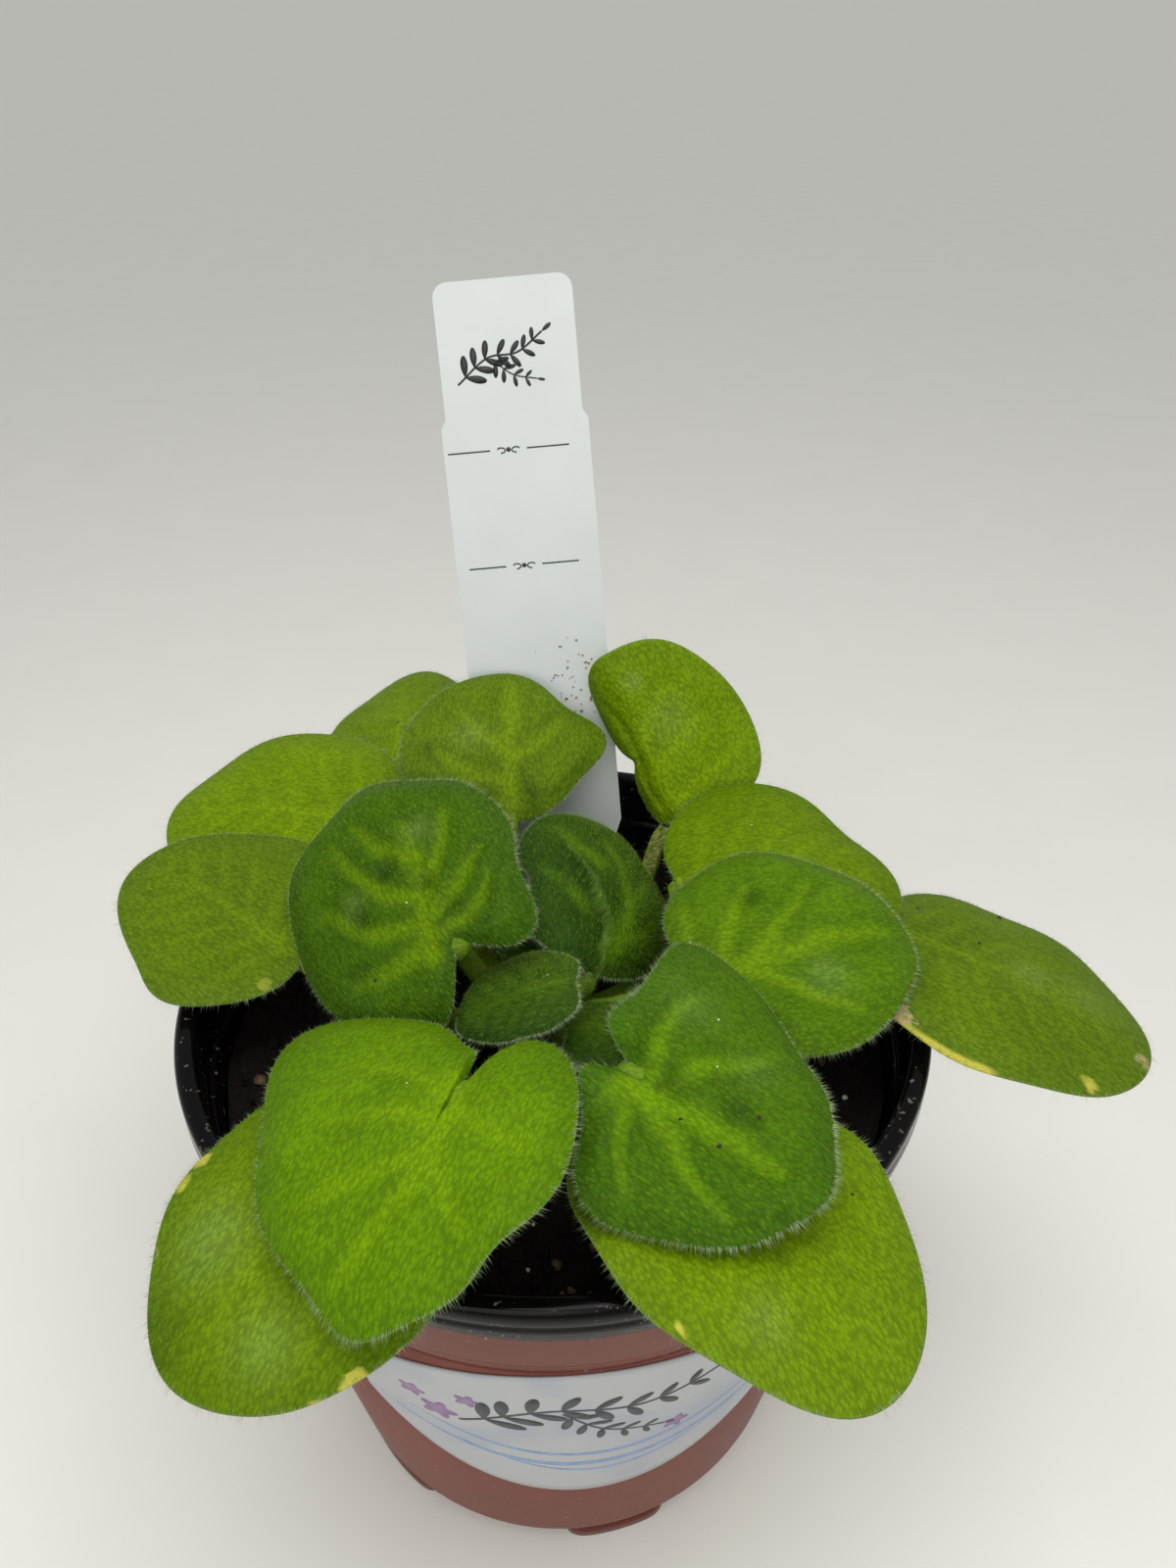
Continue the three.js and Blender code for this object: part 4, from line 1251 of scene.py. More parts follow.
LEAVES = [
    Leaf("leaf_right_outer", (50, 5, 97.8), -32, 5, -7, 45, 20, 20.5, 30, 15, 14, 85, 1.9, 0.4, Tone.OLIVE,
         quilt=0.45, point=0.01, via=((24, 2, 85.1), (40, 4.5, 91.5)), yellow_rim=(-150, -78), fringe=2.0,
         marks=(Mark(TAN, 0.24, -0.9, 1.9), Mark(PALE, 0.55, 0.12, 3.0, 0.5),
                Mark(PALE, 0.75, 0.2, 3.5, 0.4), Mark(TAN, 0.97, -0.05, 1.6, 0.7),
                Mark(YELLOW, 0.84, -0.55, 1.2, 0.6)),
         scraps=(Scrap(0.12, 0.4, 0.35), Scrap(0.38, 0.86, 0.55), Scrap(0.36, 0.22, 0.3))),
    Leaf("leaf_right", (18, -8, 102.5), 2, 12, 10, 36, 21, 17.5, 22, 12, 15, 91.5, 1.7, 0.5, Tone.FRESH,
         quilt=1.3, via=((10, -5, 91.5), (15.5, -7.5, 96.5)), fringe=6.0,
         drawn=(((0.0, -0.15), (0.1, -0.17), (0.21, -0.17), (0.38, -0.08), (0.64, 0.03), (0.88, 0.09)),
                ((0.16, -0.16), (0.25, 0.26), (0.32, 0.62)), ((0.3, -0.12), (0.48, 0.25), (0.62, 0.55)),
                ((0.26, -0.16), (0.4, -0.32), (0.5, -0.49), (0.68, -0.64)),
                ((0.12, -0.2), (0.2, -0.5), (0.3, -0.75)), ((0.08, -0.1), (0.05, 0.25), (0.06, 0.6))),
         marks=(Mark(HOLLOW, 0.36, 0.47, 2.0, 0.7),
                Mark(PALE, 0.57, -0.33, 3.0, 0.5))),
    Leaf("leaf_front_right", (9, -35.5, 111.5), -34, -22, 8, 27.5, 18, 14, -24, 23, 27, 90.5, 1.6, 0.4,
         Tone.MID, quilt=1.7, lobe=0.26, notch=0.13, point=0.07,
         bulges=((114, 0.5), (-114, 0.12), (-150, -0.07)),
         via=((2.5, -19, 91), (5.5, -30, 99.5)), crowding=0.6, fringe=8.0,
         drawn=(((0.02, -0.14), (0.13, -0.15), (0.24, -0.12), (0.51, -0.03), (0.78, -0.01)),
                ((0.09, -0.1), (0.04, 0.29), (0.03, 0.55), (0.06, 0.85)),
                ((0.18, -0.12), (0.25, 0.25), (0.38, 0.55), (0.5, 0.8)),
                ((0.15, -0.2), (0.34, -0.33), (0.55, -0.51), (0.7, -0.6)),
                ((0.05, -0.2), (0.15, -0.6), (0.29, -0.86)), ((0.0, -0.2), (-0.05, -0.6), (-0.02, -0.9))),
         marks=(Mark(HOLLOW, 0.2, 0.1, 1.8, 0.7), Mark(HOLLOW, 0.5, 0.2, 2.4, 0.6),
                Mark(HOLLOW, 0.02, 0.1, 1.5, 0.5), Mark(PALE, 0.05, 0.72, 4.0, 0.3),
                Mark(PALE, 0.45, 0.55, 3.0, 0.3)),
         scraps=(Scrap(0.3, -0.12, 0.3), Scrap(0.5, -0.14, 0.45), Scrap(0.58, 0.22, 0.3),
                 Scrap(0.18, 0.75, 0.2, True), Scrap(0.3, 0.4, 0.16, True))),
    Leaf("leaf_front_left", (-11.6, -35.9, 110), -117, 2.5, 12, 31.3, 18.1, 21.8, 37, 6, 6, 87.5, 1.8, 0.3,
         Tone.BRIGHT, quilt=0.95, lobe=0.44, notch=0.055, point=0.1,
         bulges=((70, -0.1), (-125, 0.45), (-173, -0.21, 0.23)), crowding=0.6, fringe=4.0, vein_strength=0.45,
         flank_shade_strength=0.2, via=((-5, -18, 90), (-10, -29, 100.5)), marks=(Mark(DARK, 0.59, -0.09, 2.0, 0.15),),
         drawn=(((-0.02, -0.03), (0.15, 0.04), (0.3, 0.07), (0.54, -0.01), (0.78, -0.12), (0.95, -0.15)),
                ((0.22, 0.03), (0.22, -0.28), (0.32, -0.67)), ((0.3, 0.07), (0.43, -0.23), (0.63, -0.59)),
                ((0.15, 0.03), (0.21, 0.42), (0.22, 0.85)), ((0.34, 0.1), (0.46, 0.36), (0.6, 0.61)),
                ((0.1, 0.0), (0.02, -0.35), (0.0, -0.75))),
         scraps=(Scrap(0.07, -0.3, 0.14, True),)),
    Leaf("leaf_front_left_low", (-22.5, -30, 98.5), -123, 12, 0, 40.5, 21.5, 17.5, 52, 8, 15, 85, 1.9, 0.5,
         Tone.FULL, quilt=0.5, lobe=0.12, point=0.02, fringe=4.0,
         marks=(Mark(YELLOW, 0.53, -0.95, 1.5), Mark(YELLOW, 0.44, -0.99, 1.2, 0.8),
                Mark(YELLOW, 0.72, 0.84, 1.6), Mark(YELLOW, 0.84, 0.7, 1.3, 0.8),
                Mark(TAN, 0.62, 0.97, 1.2, 0.7), Mark(TAN, 0.74, -0.79, 1.0, 0.5),
                Mark(PALE, 0.62, -0.4, 5.0, 0.6), Mark(PALE, 0.77, 0.3, 4.0, 0.5),
                Mark(DARK, 0.92, -0.35, 5.0, 0.55))),
    Leaf("leaf_front_right_low", (12, -26.5, 94), -60, 24, -6, 49.5, 19, 19.5, 46, 2, 10, 85, 1.9, 0.7,
         Tone.LIGHT, quilt=0.5, lobe=0.12, point=0.05, fringe=3.0, scraps=(Scrap(0.57, 0.62, 0.25),),
         marks=(Mark(TAN, 0.86, 0.7, 1.5, 0.6), Mark(YELLOW, 0.66, -0.84, 0.5),
                Mark(PALE, 0.74, -0.4, 3.0, 0.4))),
    Leaf("leaf_left", (-37.8, 0.8, 98), 148, 10.3, -5, 35.7, 14.8, 19.5, 5, 7, 10, 85, 1.8, 0.4, Tone.OLIVE,
         quilt=0.5, bulges=((97, 0.08),), marks=(Mark(YELLOW, 0.05, 0.5, 1.0, 0.35),), fringe=3.0),
    Leaf("leaf_centre_left", (-13.5, -9, 108.5), 129, 23, -35, 33.5, 23, 17, 27, 20, 25, 90.5, 1.6, 0.8,
         Tone.DEEP, quilt=2.0, lobe=0.42, notch=0.33, bulges=((33, 0.15), (-130, -0.07)), crowding=0.6,
         via=((-9, -3.5, 94.5), (-13.5, -4.5, 102.5)), fringe=5.0,
         drawn=(((0.05, 0.15), (0.21, 0.09), (0.3, -0.01), (0.45, -0.09), (0.62, -0.16)),
                ((0.29, 0.02), (0.38, 0.16), (0.49, 0.24), (0.82, 0.34)),
                ((0.2, 0.02), (0.22, -0.24), (0.3, -0.63)), ((0.1, 0.04), (0.09, -0.26), (0.17, -0.58)),
                ((0.18, 0.14), (0.3, 0.42), (0.53, 0.57)), ((0.09, 0.21), (0.12, 0.52), (0.16, 0.69)),
                ((0.45, -0.09), (0.62, 0.05), (0.8, 0.1)), ((0.3, -0.05), (0.42, -0.35), (0.55, -0.6))),
         marks=(Mark(HOLLOW, 0.5, 0.09, 2.0), Mark(HOLLOW, 0.32, -0.09, 1.2, 0.8),
                Mark(HOLLOW, 0.4, 0.41, 1.9, 0.7), Mark(HOLLOW, 0.15, -0.13, 1.6, 0.6),
                Mark(DARK, 0.0, -0.29, 2.5, 0.5), Mark(PALE, 0.56, -0.3, 2.2, 0.5),
                Mark(PALE, 0.47, 0.4, 2.0, 0.35), Mark(DARK, 0.2, 0.6, 2.6, 0.4)),
         scraps=(Scrap(0.3, 0.1, 0.2, True), Scrap(0.15, 0.14, 0.14, True), Scrap(0.13, 0.55, 0.3))),
    Leaf("leaf_back", (-7, 25.5, 104.5), 90, 44, 7, 29.6, 18.5, 12.5, 25, 10, 8, 89, 1.6, 0.5, Tone.OLIVE,
         quilt=1.3, lobe=0.0, point=0.05, bulges=((-77, 0.19),), via=((-3, 12, 88.3), (-6, 21.5, 92)),
         fringe=5.0,
         drawn=(((0.0, 0.02), (0.3, 0.01), (0.57, -0.04), (0.76, -0.05), (0.9, -0.04)),
                ((0.0, -0.04), (0.12, -0.54), (0.21, -0.91), (0.45, -1.3)),
                ((0.22, 0.04), (0.29, 0.35), (0.41, 0.66)), ((0.4, 0.02), (0.59, 0.3), (0.73, 0.52)),
                ((0.35, -0.02), (0.5, -0.4), (0.62, -0.75)), ((0.05, 0.04), (0.1, 0.4), (0.2, 0.75))),
         marks=(Mark(DARK, 0.43, 0.73, 2.0, 0.5), Mark(PALE, 0.51, 0.35, 3.0, 0.4),
                Mark(DARK, 0.18, -0.3, 1.6, 0.4))),
    Leaf("leaf_back_left_low", (-28.5, 47.5, 99.5), 94, 6, -18, 40, 18.5, 14.5, 15, 15, 12, 85, 1.8, 0.4,
         Tone.LIGHT, quilt=0.5, scraps=(Scrap(0.43, 0.0, 0.3),), fringe=3.0),
    Leaf("leaf_back_left", (-28.9, 31.4, 100), 173, 11, -10.5, 39.6, 21.3, 23.6, 26, 10, 10, 89, 1.8, 0.4,
         Tone.LIGHT, quilt=0.55, bulges=((72, 0.03),), fringe=2.5),
    Leaf("leaf_back_upright", (23, 32.1, 98.4), 125, 48, -38, 32.5, 9.5, 18.8, -16, 71, 20, 85, 1.5, 0.3,
         Tone.LIGHT, quilt=0.3, fold_left=-15.0, lobe=0.05, point=0.02, crowding=0.0, fringe=4.0,
         bulges=((-28, 0.05), (-125, 0.07), (30, 0.04, 0.3), (98, -0.18, 0.75)),
         via=((8, 12, 86), (16, 26, 90.5), (20, 32.5, 96.5)), brown_stalk=1.0, vein_strength=0.5, flank_shade_strength=0.2,
         drawn=(((0.0, 0.1), (0.25, 0.09), (0.43, 0.13), (0.61, 0.16), (0.78, 0.3), (0.88, 0.55)),
                ((0.3, 0.1), (0.45, -0.35), (0.52, -0.75)), ((0.5, 0.1), (0.65, -0.3), (0.75, -0.65)),
                ((0.12, 0.05), (0.2, -0.4), (0.26, -0.8))),
         creases=(Crease(((0.0, 0.2), (0.25, 0.2), (0.43, 0.26), (0.61, 0.32), (0.78, 0.5), (0.88, 0.8)),
                         -0.8, 0.9),),
         marks=(Mark(PALE, 0.82, -0.14, 1.6, 0.8), Mark(DARK, 0.2, 0.5, 2.4, 0.5),
                Mark(DARK, 0.45, 0.55, 2.6, 0.45), Mark(DARK, 0.68, 0.75, 2.6, 0.4),
                Mark(PALE, 0.55, -0.3, 4.0, 0.4))),
    Leaf("leaf_back_right", (19.3, 10.6, 102.6), -1, 15, 4, 38, 22, 20, 40, 2, 14, 89, 1.6, 0.4, Tone.FULL,
         quilt=0.6, bulges=((102, 0.06), (38, -0.05)), via=((14, 3.5, 87.9), (22, 7, 92)), fringe=3.0,
         scraps=(Scrap(0.37, 0.5, 0.14, True), Scrap(0.5, 0.3, 0.12, True))),
    Leaf("leaf_young_centre", (5.5, -4, 97), 70, 36, 42, 35, 15.5, 16.5, 63, 52, 27, 92.5, 1.3, 0.4,
         Tone.YOUNG, quilt=0.9, lobe=0.0, point=0.03, bulges=((92, -0.1),), down=8.0, fringe=9.0,
         drawn=(((0.06, -0.06), (0.2, -0.12), (0.33, -0.16), (0.5, -0.15), (0.7, -0.1)),
                ((0.2, -0.14), (0.25, -0.4), (0.35, -0.65)), ((0.35, -0.16), (0.48, -0.4), (0.6, -0.6)),
                ((0.3, 0.2), (0.42, 0.5), (0.5, 0.75)), ((0.5, 0.1), (0.65, 0.35), (0.75, 0.55))),
         creases=(Crease(((0.6, 0.42), (0.5, 0.33), (0.39, 0.19), (0.3, 0.11), (0.25, 0.02), (0.18, -0.01),
                          (0.11, 0.03), (0.05, -0.02), (-0.01, -0.01)), 2.1, 9.0, True),),
         marks=(Mark(HOLLOW, 0.33, -0.14, 1.3, 0.8), Mark(DARK, 0.38, 0.45, 1.2, 0.7),
                Mark(DARK, 0.49, 0.22, 1.2, 0.6), Mark(DARK, 0.12, -0.4, 2.5, 0.4))),
    Leaf("leaf_young_front", (3, -14, 105), 187, 0, 1, 18.5, 6.5, 12, 35, 30, 30, 95.0, 1.2, 0.2,
         Tone.YOUNG, quilt=0.6, lobe=0.15, via=((2, -11, 100.5),), young=True, down=14.0, fringe=11.0,
         creases=(Crease(((0.67, -0.11), (0.5, -0.18), (0.34, -0.25), (0.22, -0.14), (0.07, -0.36)),
                         -0.9, 1.6),),
         scraps=(Scrap(0.2, -0.27, 0.15, True),)),
    Leaf("leaf_young_right", (1.5, -15, 96.5), -2, 9, -5, 15, 9.5, 8, 26, 30, 20, 93, 1.1, 0.2, Tone.YOUNG,
         quilt=0.6, lobe=0.14, via=(), young=True, down=12.0, fringe=9.0),
    Leaf("leaf_young_back", (-1.5, 4, 93), 104, 12, 24, 15.5, 9, 8.5, 26, 20, 20, 89.5, 1.1, 0.3, Tone.YOUNG,
         quilt=0.6, via=(), young=True, down=12.0, fringe=9.0),
]


# Crown, soil, pot, label and tag


@dataclass(frozen=True)
class Crown:
    """The short thick stem, ringed with the scars of shed leaves."""

    foot_radius: float = 6.6
    neck_radius: float = 6.2
    top_radius: float = 3.6
    steps: int = 60
    sides: int = 48
    hairs: int = 2600
    bare_rings: int = 22

    def make(self) -> None:
        """A round section along the crown's curve, its radius wavy where leaves were shed."""
        share = np.linspace(0, 1, self.steps)
        path = crown_line(share)
        neck = self.foot_radius + (self.neck_radius - self.foot_radius) * share
        radii = neck + (self.top_radius - neck) * smoothstep(0.72, 1, share)
        points, faces = tube(path, radii, self.sides, np.array([1.0, 0.0, 0.0]))
        noise = SmoothNoise(SEED)
        turn = np.tile(full_turn(self.sides), self.steps)
        level = np.repeat(share, self.sides)
        scars = np.sin(3 * turn + 9 * level) * np.sin(26 * level)
        push = 0.35 * scars + 0.25 * noise.at(turn * 6, level * 28, 1.6)
        centre = np.repeat(path, self.sides, axis=0)
        points[:-2] = centre + (points[:-2] - centre) * (0.93 + 0.07 * push)[:, None]
        rng = np.random.default_rng(SEED)
        pick = rng.integers(self.sides * self.bare_rings, self.sides * self.steps, self.hairs)
        way = unit(points[pick] - centre[pick] + rng.normal(0, 0.8, (self.hairs, 3)))
        down = spikes(points[pick], way, rng.uniform(0.6, 1.4, self.hairs), np.full(self.hairs, 0.03), 1)
        finishes = [grained("crown_bark", "#3E3016", "#5A5A26", 0.75), DOWN]
        add_piece("crown_stem", [Shell(points, faces), down], finishes, ["crown"])


@dataclass(frozen=True)
class Pot:
    """A thermoformed nursery pot: terracotta outside, black inside, over its rolled lip and to the ledge."""

    height: float = 94.8
    lip_radius: float = 57.0
    lip_depth: float = 5.0
    lip_fold: float = 0.9
    lip_bend: float = 1.2
    wall: float = 1.1
    ledge: float = 85.0
    step: float = 77.3
    step_radius: float = 52.9
    taper: float = 0.157
    corner: float = 7.0
    corner_width: float = 4.5
    floor: float = 2.5
    sides: int = 240
    feet: int = 6
    first_foot: float = -78.0
    foot_arc: float = 26.0
    foot_inner: float = 34.5
    foot_outer: float = 41.0
    foot_height: float = 3.4
    drawn_in: float = 1.8
    holes: int = 6
    first_hole: float = -100.0
    hole_circle: float = 27.0
    hole_radius: float = 4.0

    def wall_radius(self, z: Array) -> Array:
        """The outer radius of the tapering wall at a height."""
        return self.step_radius - self.taper * (self.step - z)

    def corner_arc(self, inset: float, steps: int) -> Array:
        """The rounded corner between floor and wall, as a quadratic curve.

        Args:
            inset: how far it is set in from the outer skin.
            steps: the number of points.

        Returns:
            Radius and height pairs.
        """
        edge = self.wall_radius(self.corner)
        start = np.array([edge - self.corner_width - inset / 2, self.floor + inset])
        end = np.array([edge - inset, self.corner])
        return quadratic(start, np.array([end[0] - 0.5, start[1]]), end, np.linspace(0, 1, steps)[:, None])

    def bead(self, z: float, out: float) -> list[tuple[float, float]]:
        """A fine line pressed round the wall at a height, standing out or sunk in by out."""
        shape = ((-0.45, 0.0), (-0.25, 0.75), (0.0, 1.0), (0.25, 0.75), (0.45, 0.0))
        return [(self.wall_radius(z + up) + out * share, z + up) for up, share in shape]

    def profile(self) -> tuple[Array, Array]:
        """The wall's section from the floor's middle, up the outside, over the lip and down the inside.

        Returns:
            Radius and height pairs, and the finish of the face that follows each pair: 0 terracotta, 1 black,
            2 the line sunk above the label, in terracotta painted darker as shade.
        """
        lip, wall, floor = self.lip_radius, self.wall, self.floor
        neck, inner = lip - wall - self.lip_fold, lip - wall - self.lip_fold - wall
        low, top = self.height - self.lip_depth, self.height
        ledge, step, edge, bend = self.ledge, self.step, self.step_radius, self.lip_bend
        base = [(0.05, floor), (20.0, floor), *self.corner_arc(0, 12)]
        sunk = self.bead(step - 2.9, -0.3)
        outside = [*base, *sunk, *self.bead(step - 0.9, 0.22), (edge, step)]
        outside += [(edge + 0.35, step + 0.15), (edge + 0.65, step + 0.5)]
        roll = [
            (lip - bend + bend * math.cos(turn), top - bend + bend * math.sin(turn))
            for turn in np.radians([15, 35, 55, 75, 90])
        ]
        black = [
            (neck - 0.9, ledge), (neck - 0.5, ledge + 0.2), (neck - 0.3, ledge + 0.7), (neck, top - 2.2),
            (lip - wall, top - 2.2), (lip - wall, low + 0.3), (lip - wall + 0.3, low), (lip - 0.3, low),
            (lip, low + 0.35), (lip, low + 1.9), (lip - 0.12, low + 2.2), (lip, low + 2.5),
            (lip, top - bend), *roll, (inner + 0.9, top), (inner + 0.3, top - 0.3), (inner, top - 1),
            (inner - 0.3, ledge + 0.9), (inner - 0.7, ledge + 0.45), (inner - 1.4, ledge + 0.2),
            (edge - wall + 0.5, step + 0.9), (edge - wall - 0.1, step), *self.corner_arc(wall, 8)[::-1],
            (20.0, floor + wall), (0.05, floor + wall),
        ]
        finish = np.array([0] * len(outside) + [1] * len(black))
        finish[len(base) : len(base) + len(sunk) - 1] = 2
        return np.array([*outside, *black]), finish

    def foot(self, angle: float) -> Shell:
        """One foot: a flat-bottomed wedge bent round the pot's edge, drawn in at its ends.

        Args:
            angle: where its middle stands, in degrees.

        Returns:
            The shell, in terracotta painted darker as shade under the pot.
        """
        share = np.linspace(-1, 1, 29)
        arc = np.radians(angle + self.foot_arc * share / 2)
        inner, outer, top = self.foot_inner, self.foot_outer, self.foot_height
        section = np.array([(inner, 0.0), (inner, top), (outer, top), (outer - 0.1, 1.7),
                            (outer - 0.2, 0.4), (outer - 0.6, 0.0)])
        outside = section[:, 0] > (inner + outer) / 2
        radius = section[:, 0] - np.where(outside, self.drawn_in, 0.0) * share[:, None] ** 8
        return Shell(*closed_loft(polar(radius, arc[:, None], section[:, 1])), finish=2)

    def make(self) -> None:
        """Turns the wall, adds the feet, drills the drain holes, and strews chips on the dark band."""
        profile, finish = self.profile()
        wall = Shell(*turned(profile, self.sides), finish=np.repeat(finish, self.sides * 2))
        feet = [self.foot(self.first_foot + 360 / self.feet * k) for k in range(self.feet)]
        finishes = [f.material() for f in (TERRACOTTA, LINER, SHADED_TERRACOTTA)]
        piece = build_object("pot_wall", [wall, *feet], finishes)
        self.drill(piece)
        settle(piece, ["pot"])
        scuffs = grained("scuffed_terracotta", "#A5776A", "#C3A08F")
        add_piece("pot_band_chips", [self.chips()], [scuffs], [])

    def chips(self) -> Shell:
        """Thin flakes scuffed off along the edge between the dark band and the terracotta.

        Returns:
            One shell that holds them all.
        """
        rng = np.random.default_rng(SEED + 3)
        count = 90
        angle = rng.uniform(0, 2 * np.pi, count)
        z = self.ledge + rng.choice([-0.25, 0.35], count, p=[0.7, 0.3]) + rng.normal(0, 0.25, count)
        neck = self.lip_radius - self.wall - self.lip_fold
        radius = np.interp(z, [self.step + 0.5, self.ledge, self.ledge + 0.7, self.height - 2.2],
                           [self.step_radius + 0.65, neck - 0.9, neck - 0.3, neck])
        return scattered_lumps(polar(radius, angle, z), rng.uniform(0.08, 0.26, count), 41, squash=0.6)

    def drill(self, piece: bpy.types.Object) -> None:
        """Cuts the drain holes, each the shape of an upright round rod.

        Args:
            piece: the pot's wall, whose mesh is changed.
        """
        rods = []
        for k in range(self.holes):
            angle = math.radians(self.first_hole + 360 / self.holes * k)
            x, y = self.hole_circle * math.cos(angle), self.hole_circle * math.sin(angle)
            path = np.array([(x, y, z) for z in (-3.0, 1.0, 4.0, 8.0)])
            rods.append(Shell(*tube(path, np.full(4, self.hole_radius), 32, np.array([1.0, 0.0, 0.0]))))
        cutter = build_object("drill_rods", rods, [])
        cut = piece.modifiers.new("drain_holes", "BOOLEAN")
        cut.object, cut.operation, cut.solver = cutter, "DIFFERENCE", "EXACT"
        bpy.context.view_layer.update()
        drilled = bpy.data.meshes.new_from_object(piece.evaluated_get(bpy.context.evaluated_depsgraph_get()))
        piece.modifiers.clear()
        piece.data = drilled
        bpy.data.objects.remove(cutter)


@dataclass(frozen=True)
class Soil:
    """Potting mix: a lumpy top with crumbs, bark and perlite lying on it."""

    pot: Pot
    level: float = 80.5
    gap: float = 0.3
    rings: int = 110
    sides: int = 260

    def inside(self, z: float) -> float:
        """The plug's radius at a height, a gap inside the pot's wall."""
        return float(self.pot.wall_radius(z)) - self.pot.wall - self.gap

    def height(self, x: Array, y: Array) -> Array:
        """The solid's gentle mound and lumps, with crumbs of 1 to 4 mm added as noise.

        Args:
            x: places from the pot's axis.
            y: places from it, square to x.

        Returns:
            The top's height at each place.
        """
        mound = 1.2 * np.exp(-(x * x + y * y) / 500)
        lumps = np.sin(x * 0.23 + 1.1) * np.cos(y * 0.27 + 0.4) + 0.6 * np.sin(x * 0.51 - y * 0.43)
        noise = SmoothNoise(SEED + 1)
        crumbs = 0.55 * noise.at(x, y, 3.1) + 0.4 * noise.at(x + 9, y, 1.3) + 0.22 * noise.at(x, y + 5, 0.6)
        return self.level + mound + 0.66 * lumps + crumbs

    def make(self) -> None:
        """The top as a round height field, closed by the plug's tapering wall and its floor."""
        share = np.linspace(0, 1, self.rings + 1)[1:] ** 0.75
        turn = full_turn(self.sides)
        radius = share[:, None] * (self.inside(self.level) - 0.2)
        x, y = radius * np.cos(turn), radius * np.sin(turn)
        top = np.stack([x, y, self.height(x, y)], -1)
        floor = self.pot.floor + self.pot.wall + self.gap
        lower = [(self.inside(z), z) for z in (self.level - 6, self.pot.corner + 2)]
        lower.append((self.inside(self.pot.corner) - self.pot.corner_width, floor))
        wall = [polar(r, turn, z) for r, z in lower]
        centre = np.array([0.0, 0.0, float(self.height(np.zeros(1), np.zeros(1))[0])])
        rings = np.concatenate([top, np.array(wall)])
        points, faces = closed_loft(rings, centre, np.array([0.0, 0.0, floor]))
        finishes = [
            PEAT,
            grained("perlite", "#E9E7DF", "#B9B5A8"),
            grained("bark_chips", "#6E5638", "#2E2218"),
            grained("dry_leaf_scrap", "#8E9A55", "#5F6B32"),
        ]
        crumbs = [self.strewn(900, (0.35, 1.1), 0, 21), self.strewn(70, (0.2, 0.6), 1, 22)]
        crumbs += [self.strewn(70, (0.4, 1.3), 2, 23), self.strewn(9, (0.9, 1.6), 3, 24)]
        add_piece("soil_mix", [Shell(points, faces[:, ::-1]), *crumbs], finishes, ["soil"])

    def strewn(self, count: int, sizes: Pair, finish: int, seed: int) -> Shell:
        """Crumbs at random places, each half sunk in the top.

        Args:
            count: how many there are.
            sizes: the smallest and the largest radius.
            finish: index of their material.
            seed: start of the random numbers.

        Returns:
            One shell that holds them all.
        """
        rng = np.random.default_rng(seed)
        radius = 0.97 * self.inside(self.level) * np.sqrt(rng.uniform(0.02, 1, count))
        turn = rng.uniform(0, 2 * np.pi, count)
        x, y = radius * np.cos(turn), radius * np.sin(turn)
        size = rng.uniform(*sizes, count)
        centres = np.stack([x, y, self.height(x, y) + 0.25 * size], -1)
        return scattered_lumps(centres, size, seed, finish)


@dataclass(frozen=True)
class Press:
    """Prints thin closed shapes on a surface, which is given as a function of across, up and out."""

    place: Callable[[Array, Array, Array], Array]
    skin: float
    ink: float = 0.04

    def patch(self, outline: Array, finish: int = 0) -> Shell:
        """An inked shape, filled as a fan.

        Args:
            outline: its edge, anticlockwise, all of it seen from its middle.
            finish: index of the ink.

        Returns:
            The shape as a thin closed shell.
        """
        edge = np.concatenate([outline, outline.mean(0)[None]])
        low, top = (
            self.place(edge[:, 0], edge[:, 1], np.full(len(edge), self.skin + out))
            for out in (-self.ink, self.ink)
        )
        return Shell(*closed_loft(np.stack([low[:-1], top[:-1]]), low[-1], top[-1]), finish=finish)

    def ribbon(self, line: Array, width: float | Array, finish: int = 0) -> Shell:
        """An inked line: a flat four-sided section carried along a curve.

        Args:
            line: the curve's points.
            width: its width, or one for each point.
            finish: index of the ink.

        Returns:
            The line as a thin closed shell.
        """
        way = unit(np.gradient(line, axis=0))
        side = np.stack([-way[:, 1], way[:, 0]], -1) * np.broadcast_to(width, len(line))[:, None] / 2
        corners = []
        for edge, out in ((-1, 1), (-1, -1), (1, -1), (1, 1)):
            at = line + edge * side
            corners.append(self.place(at[:, 0], at[:, 1], np.full(len(line), self.skin + out * self.ink)))
        return Shell(*closed_loft(np.stack(corners, 1)), finish=finish)

    def sprig(self, knots: Array, pairs: int, size: float, finish: int = 0) -> list[Shell]:
        """A bowed stem with pointed leaves in pairs along it, smaller towards its tip.

        Args:
            knots: points of the stem on the surface, in millimetres.
            pairs: the number of pairs of leaves.
            size: length of the first leaves in millimetres.
            finish: index of the ink.

        Returns:
            One shell for the stem and for each leaf.
        """
        stem = catmull(knots, 40)
        shells = [self.ribbon(stem, 0.09 * size, finish)]
        turn = full_turn(22)
        for k in range(2 * pairs + 1):
            at = min(4 + int(35 * (k // 2) / pairs), 39)
            way = stem[at] - stem[max(at - 3, 0)]
            tip = k == 2 * pairs
            lean = math.atan2(way[1], way[0]) + (0.0 if tip else math.radians(52) * (1 if k % 2 else -1))
            length = size * (1 - 0.45 * k / (2 * pairs))
            leaf = np.stack([length * (1 + np.cos(turn)) / 2, 0.24 * length * np.sin(turn)], -1)
            leaf[:, 1] *= np.sqrt(np.clip(leaf[:, 0] / length, 0, 1)) * (1.25 - 0.5 * leaf[:, 0] / length)
            spin = np.array([[math.cos(lean), math.sin(lean)], [-math.sin(lean), math.cos(lean)]])
            shells.append(self.patch(stem[at] + leaf @ spin, finish))
        return shells


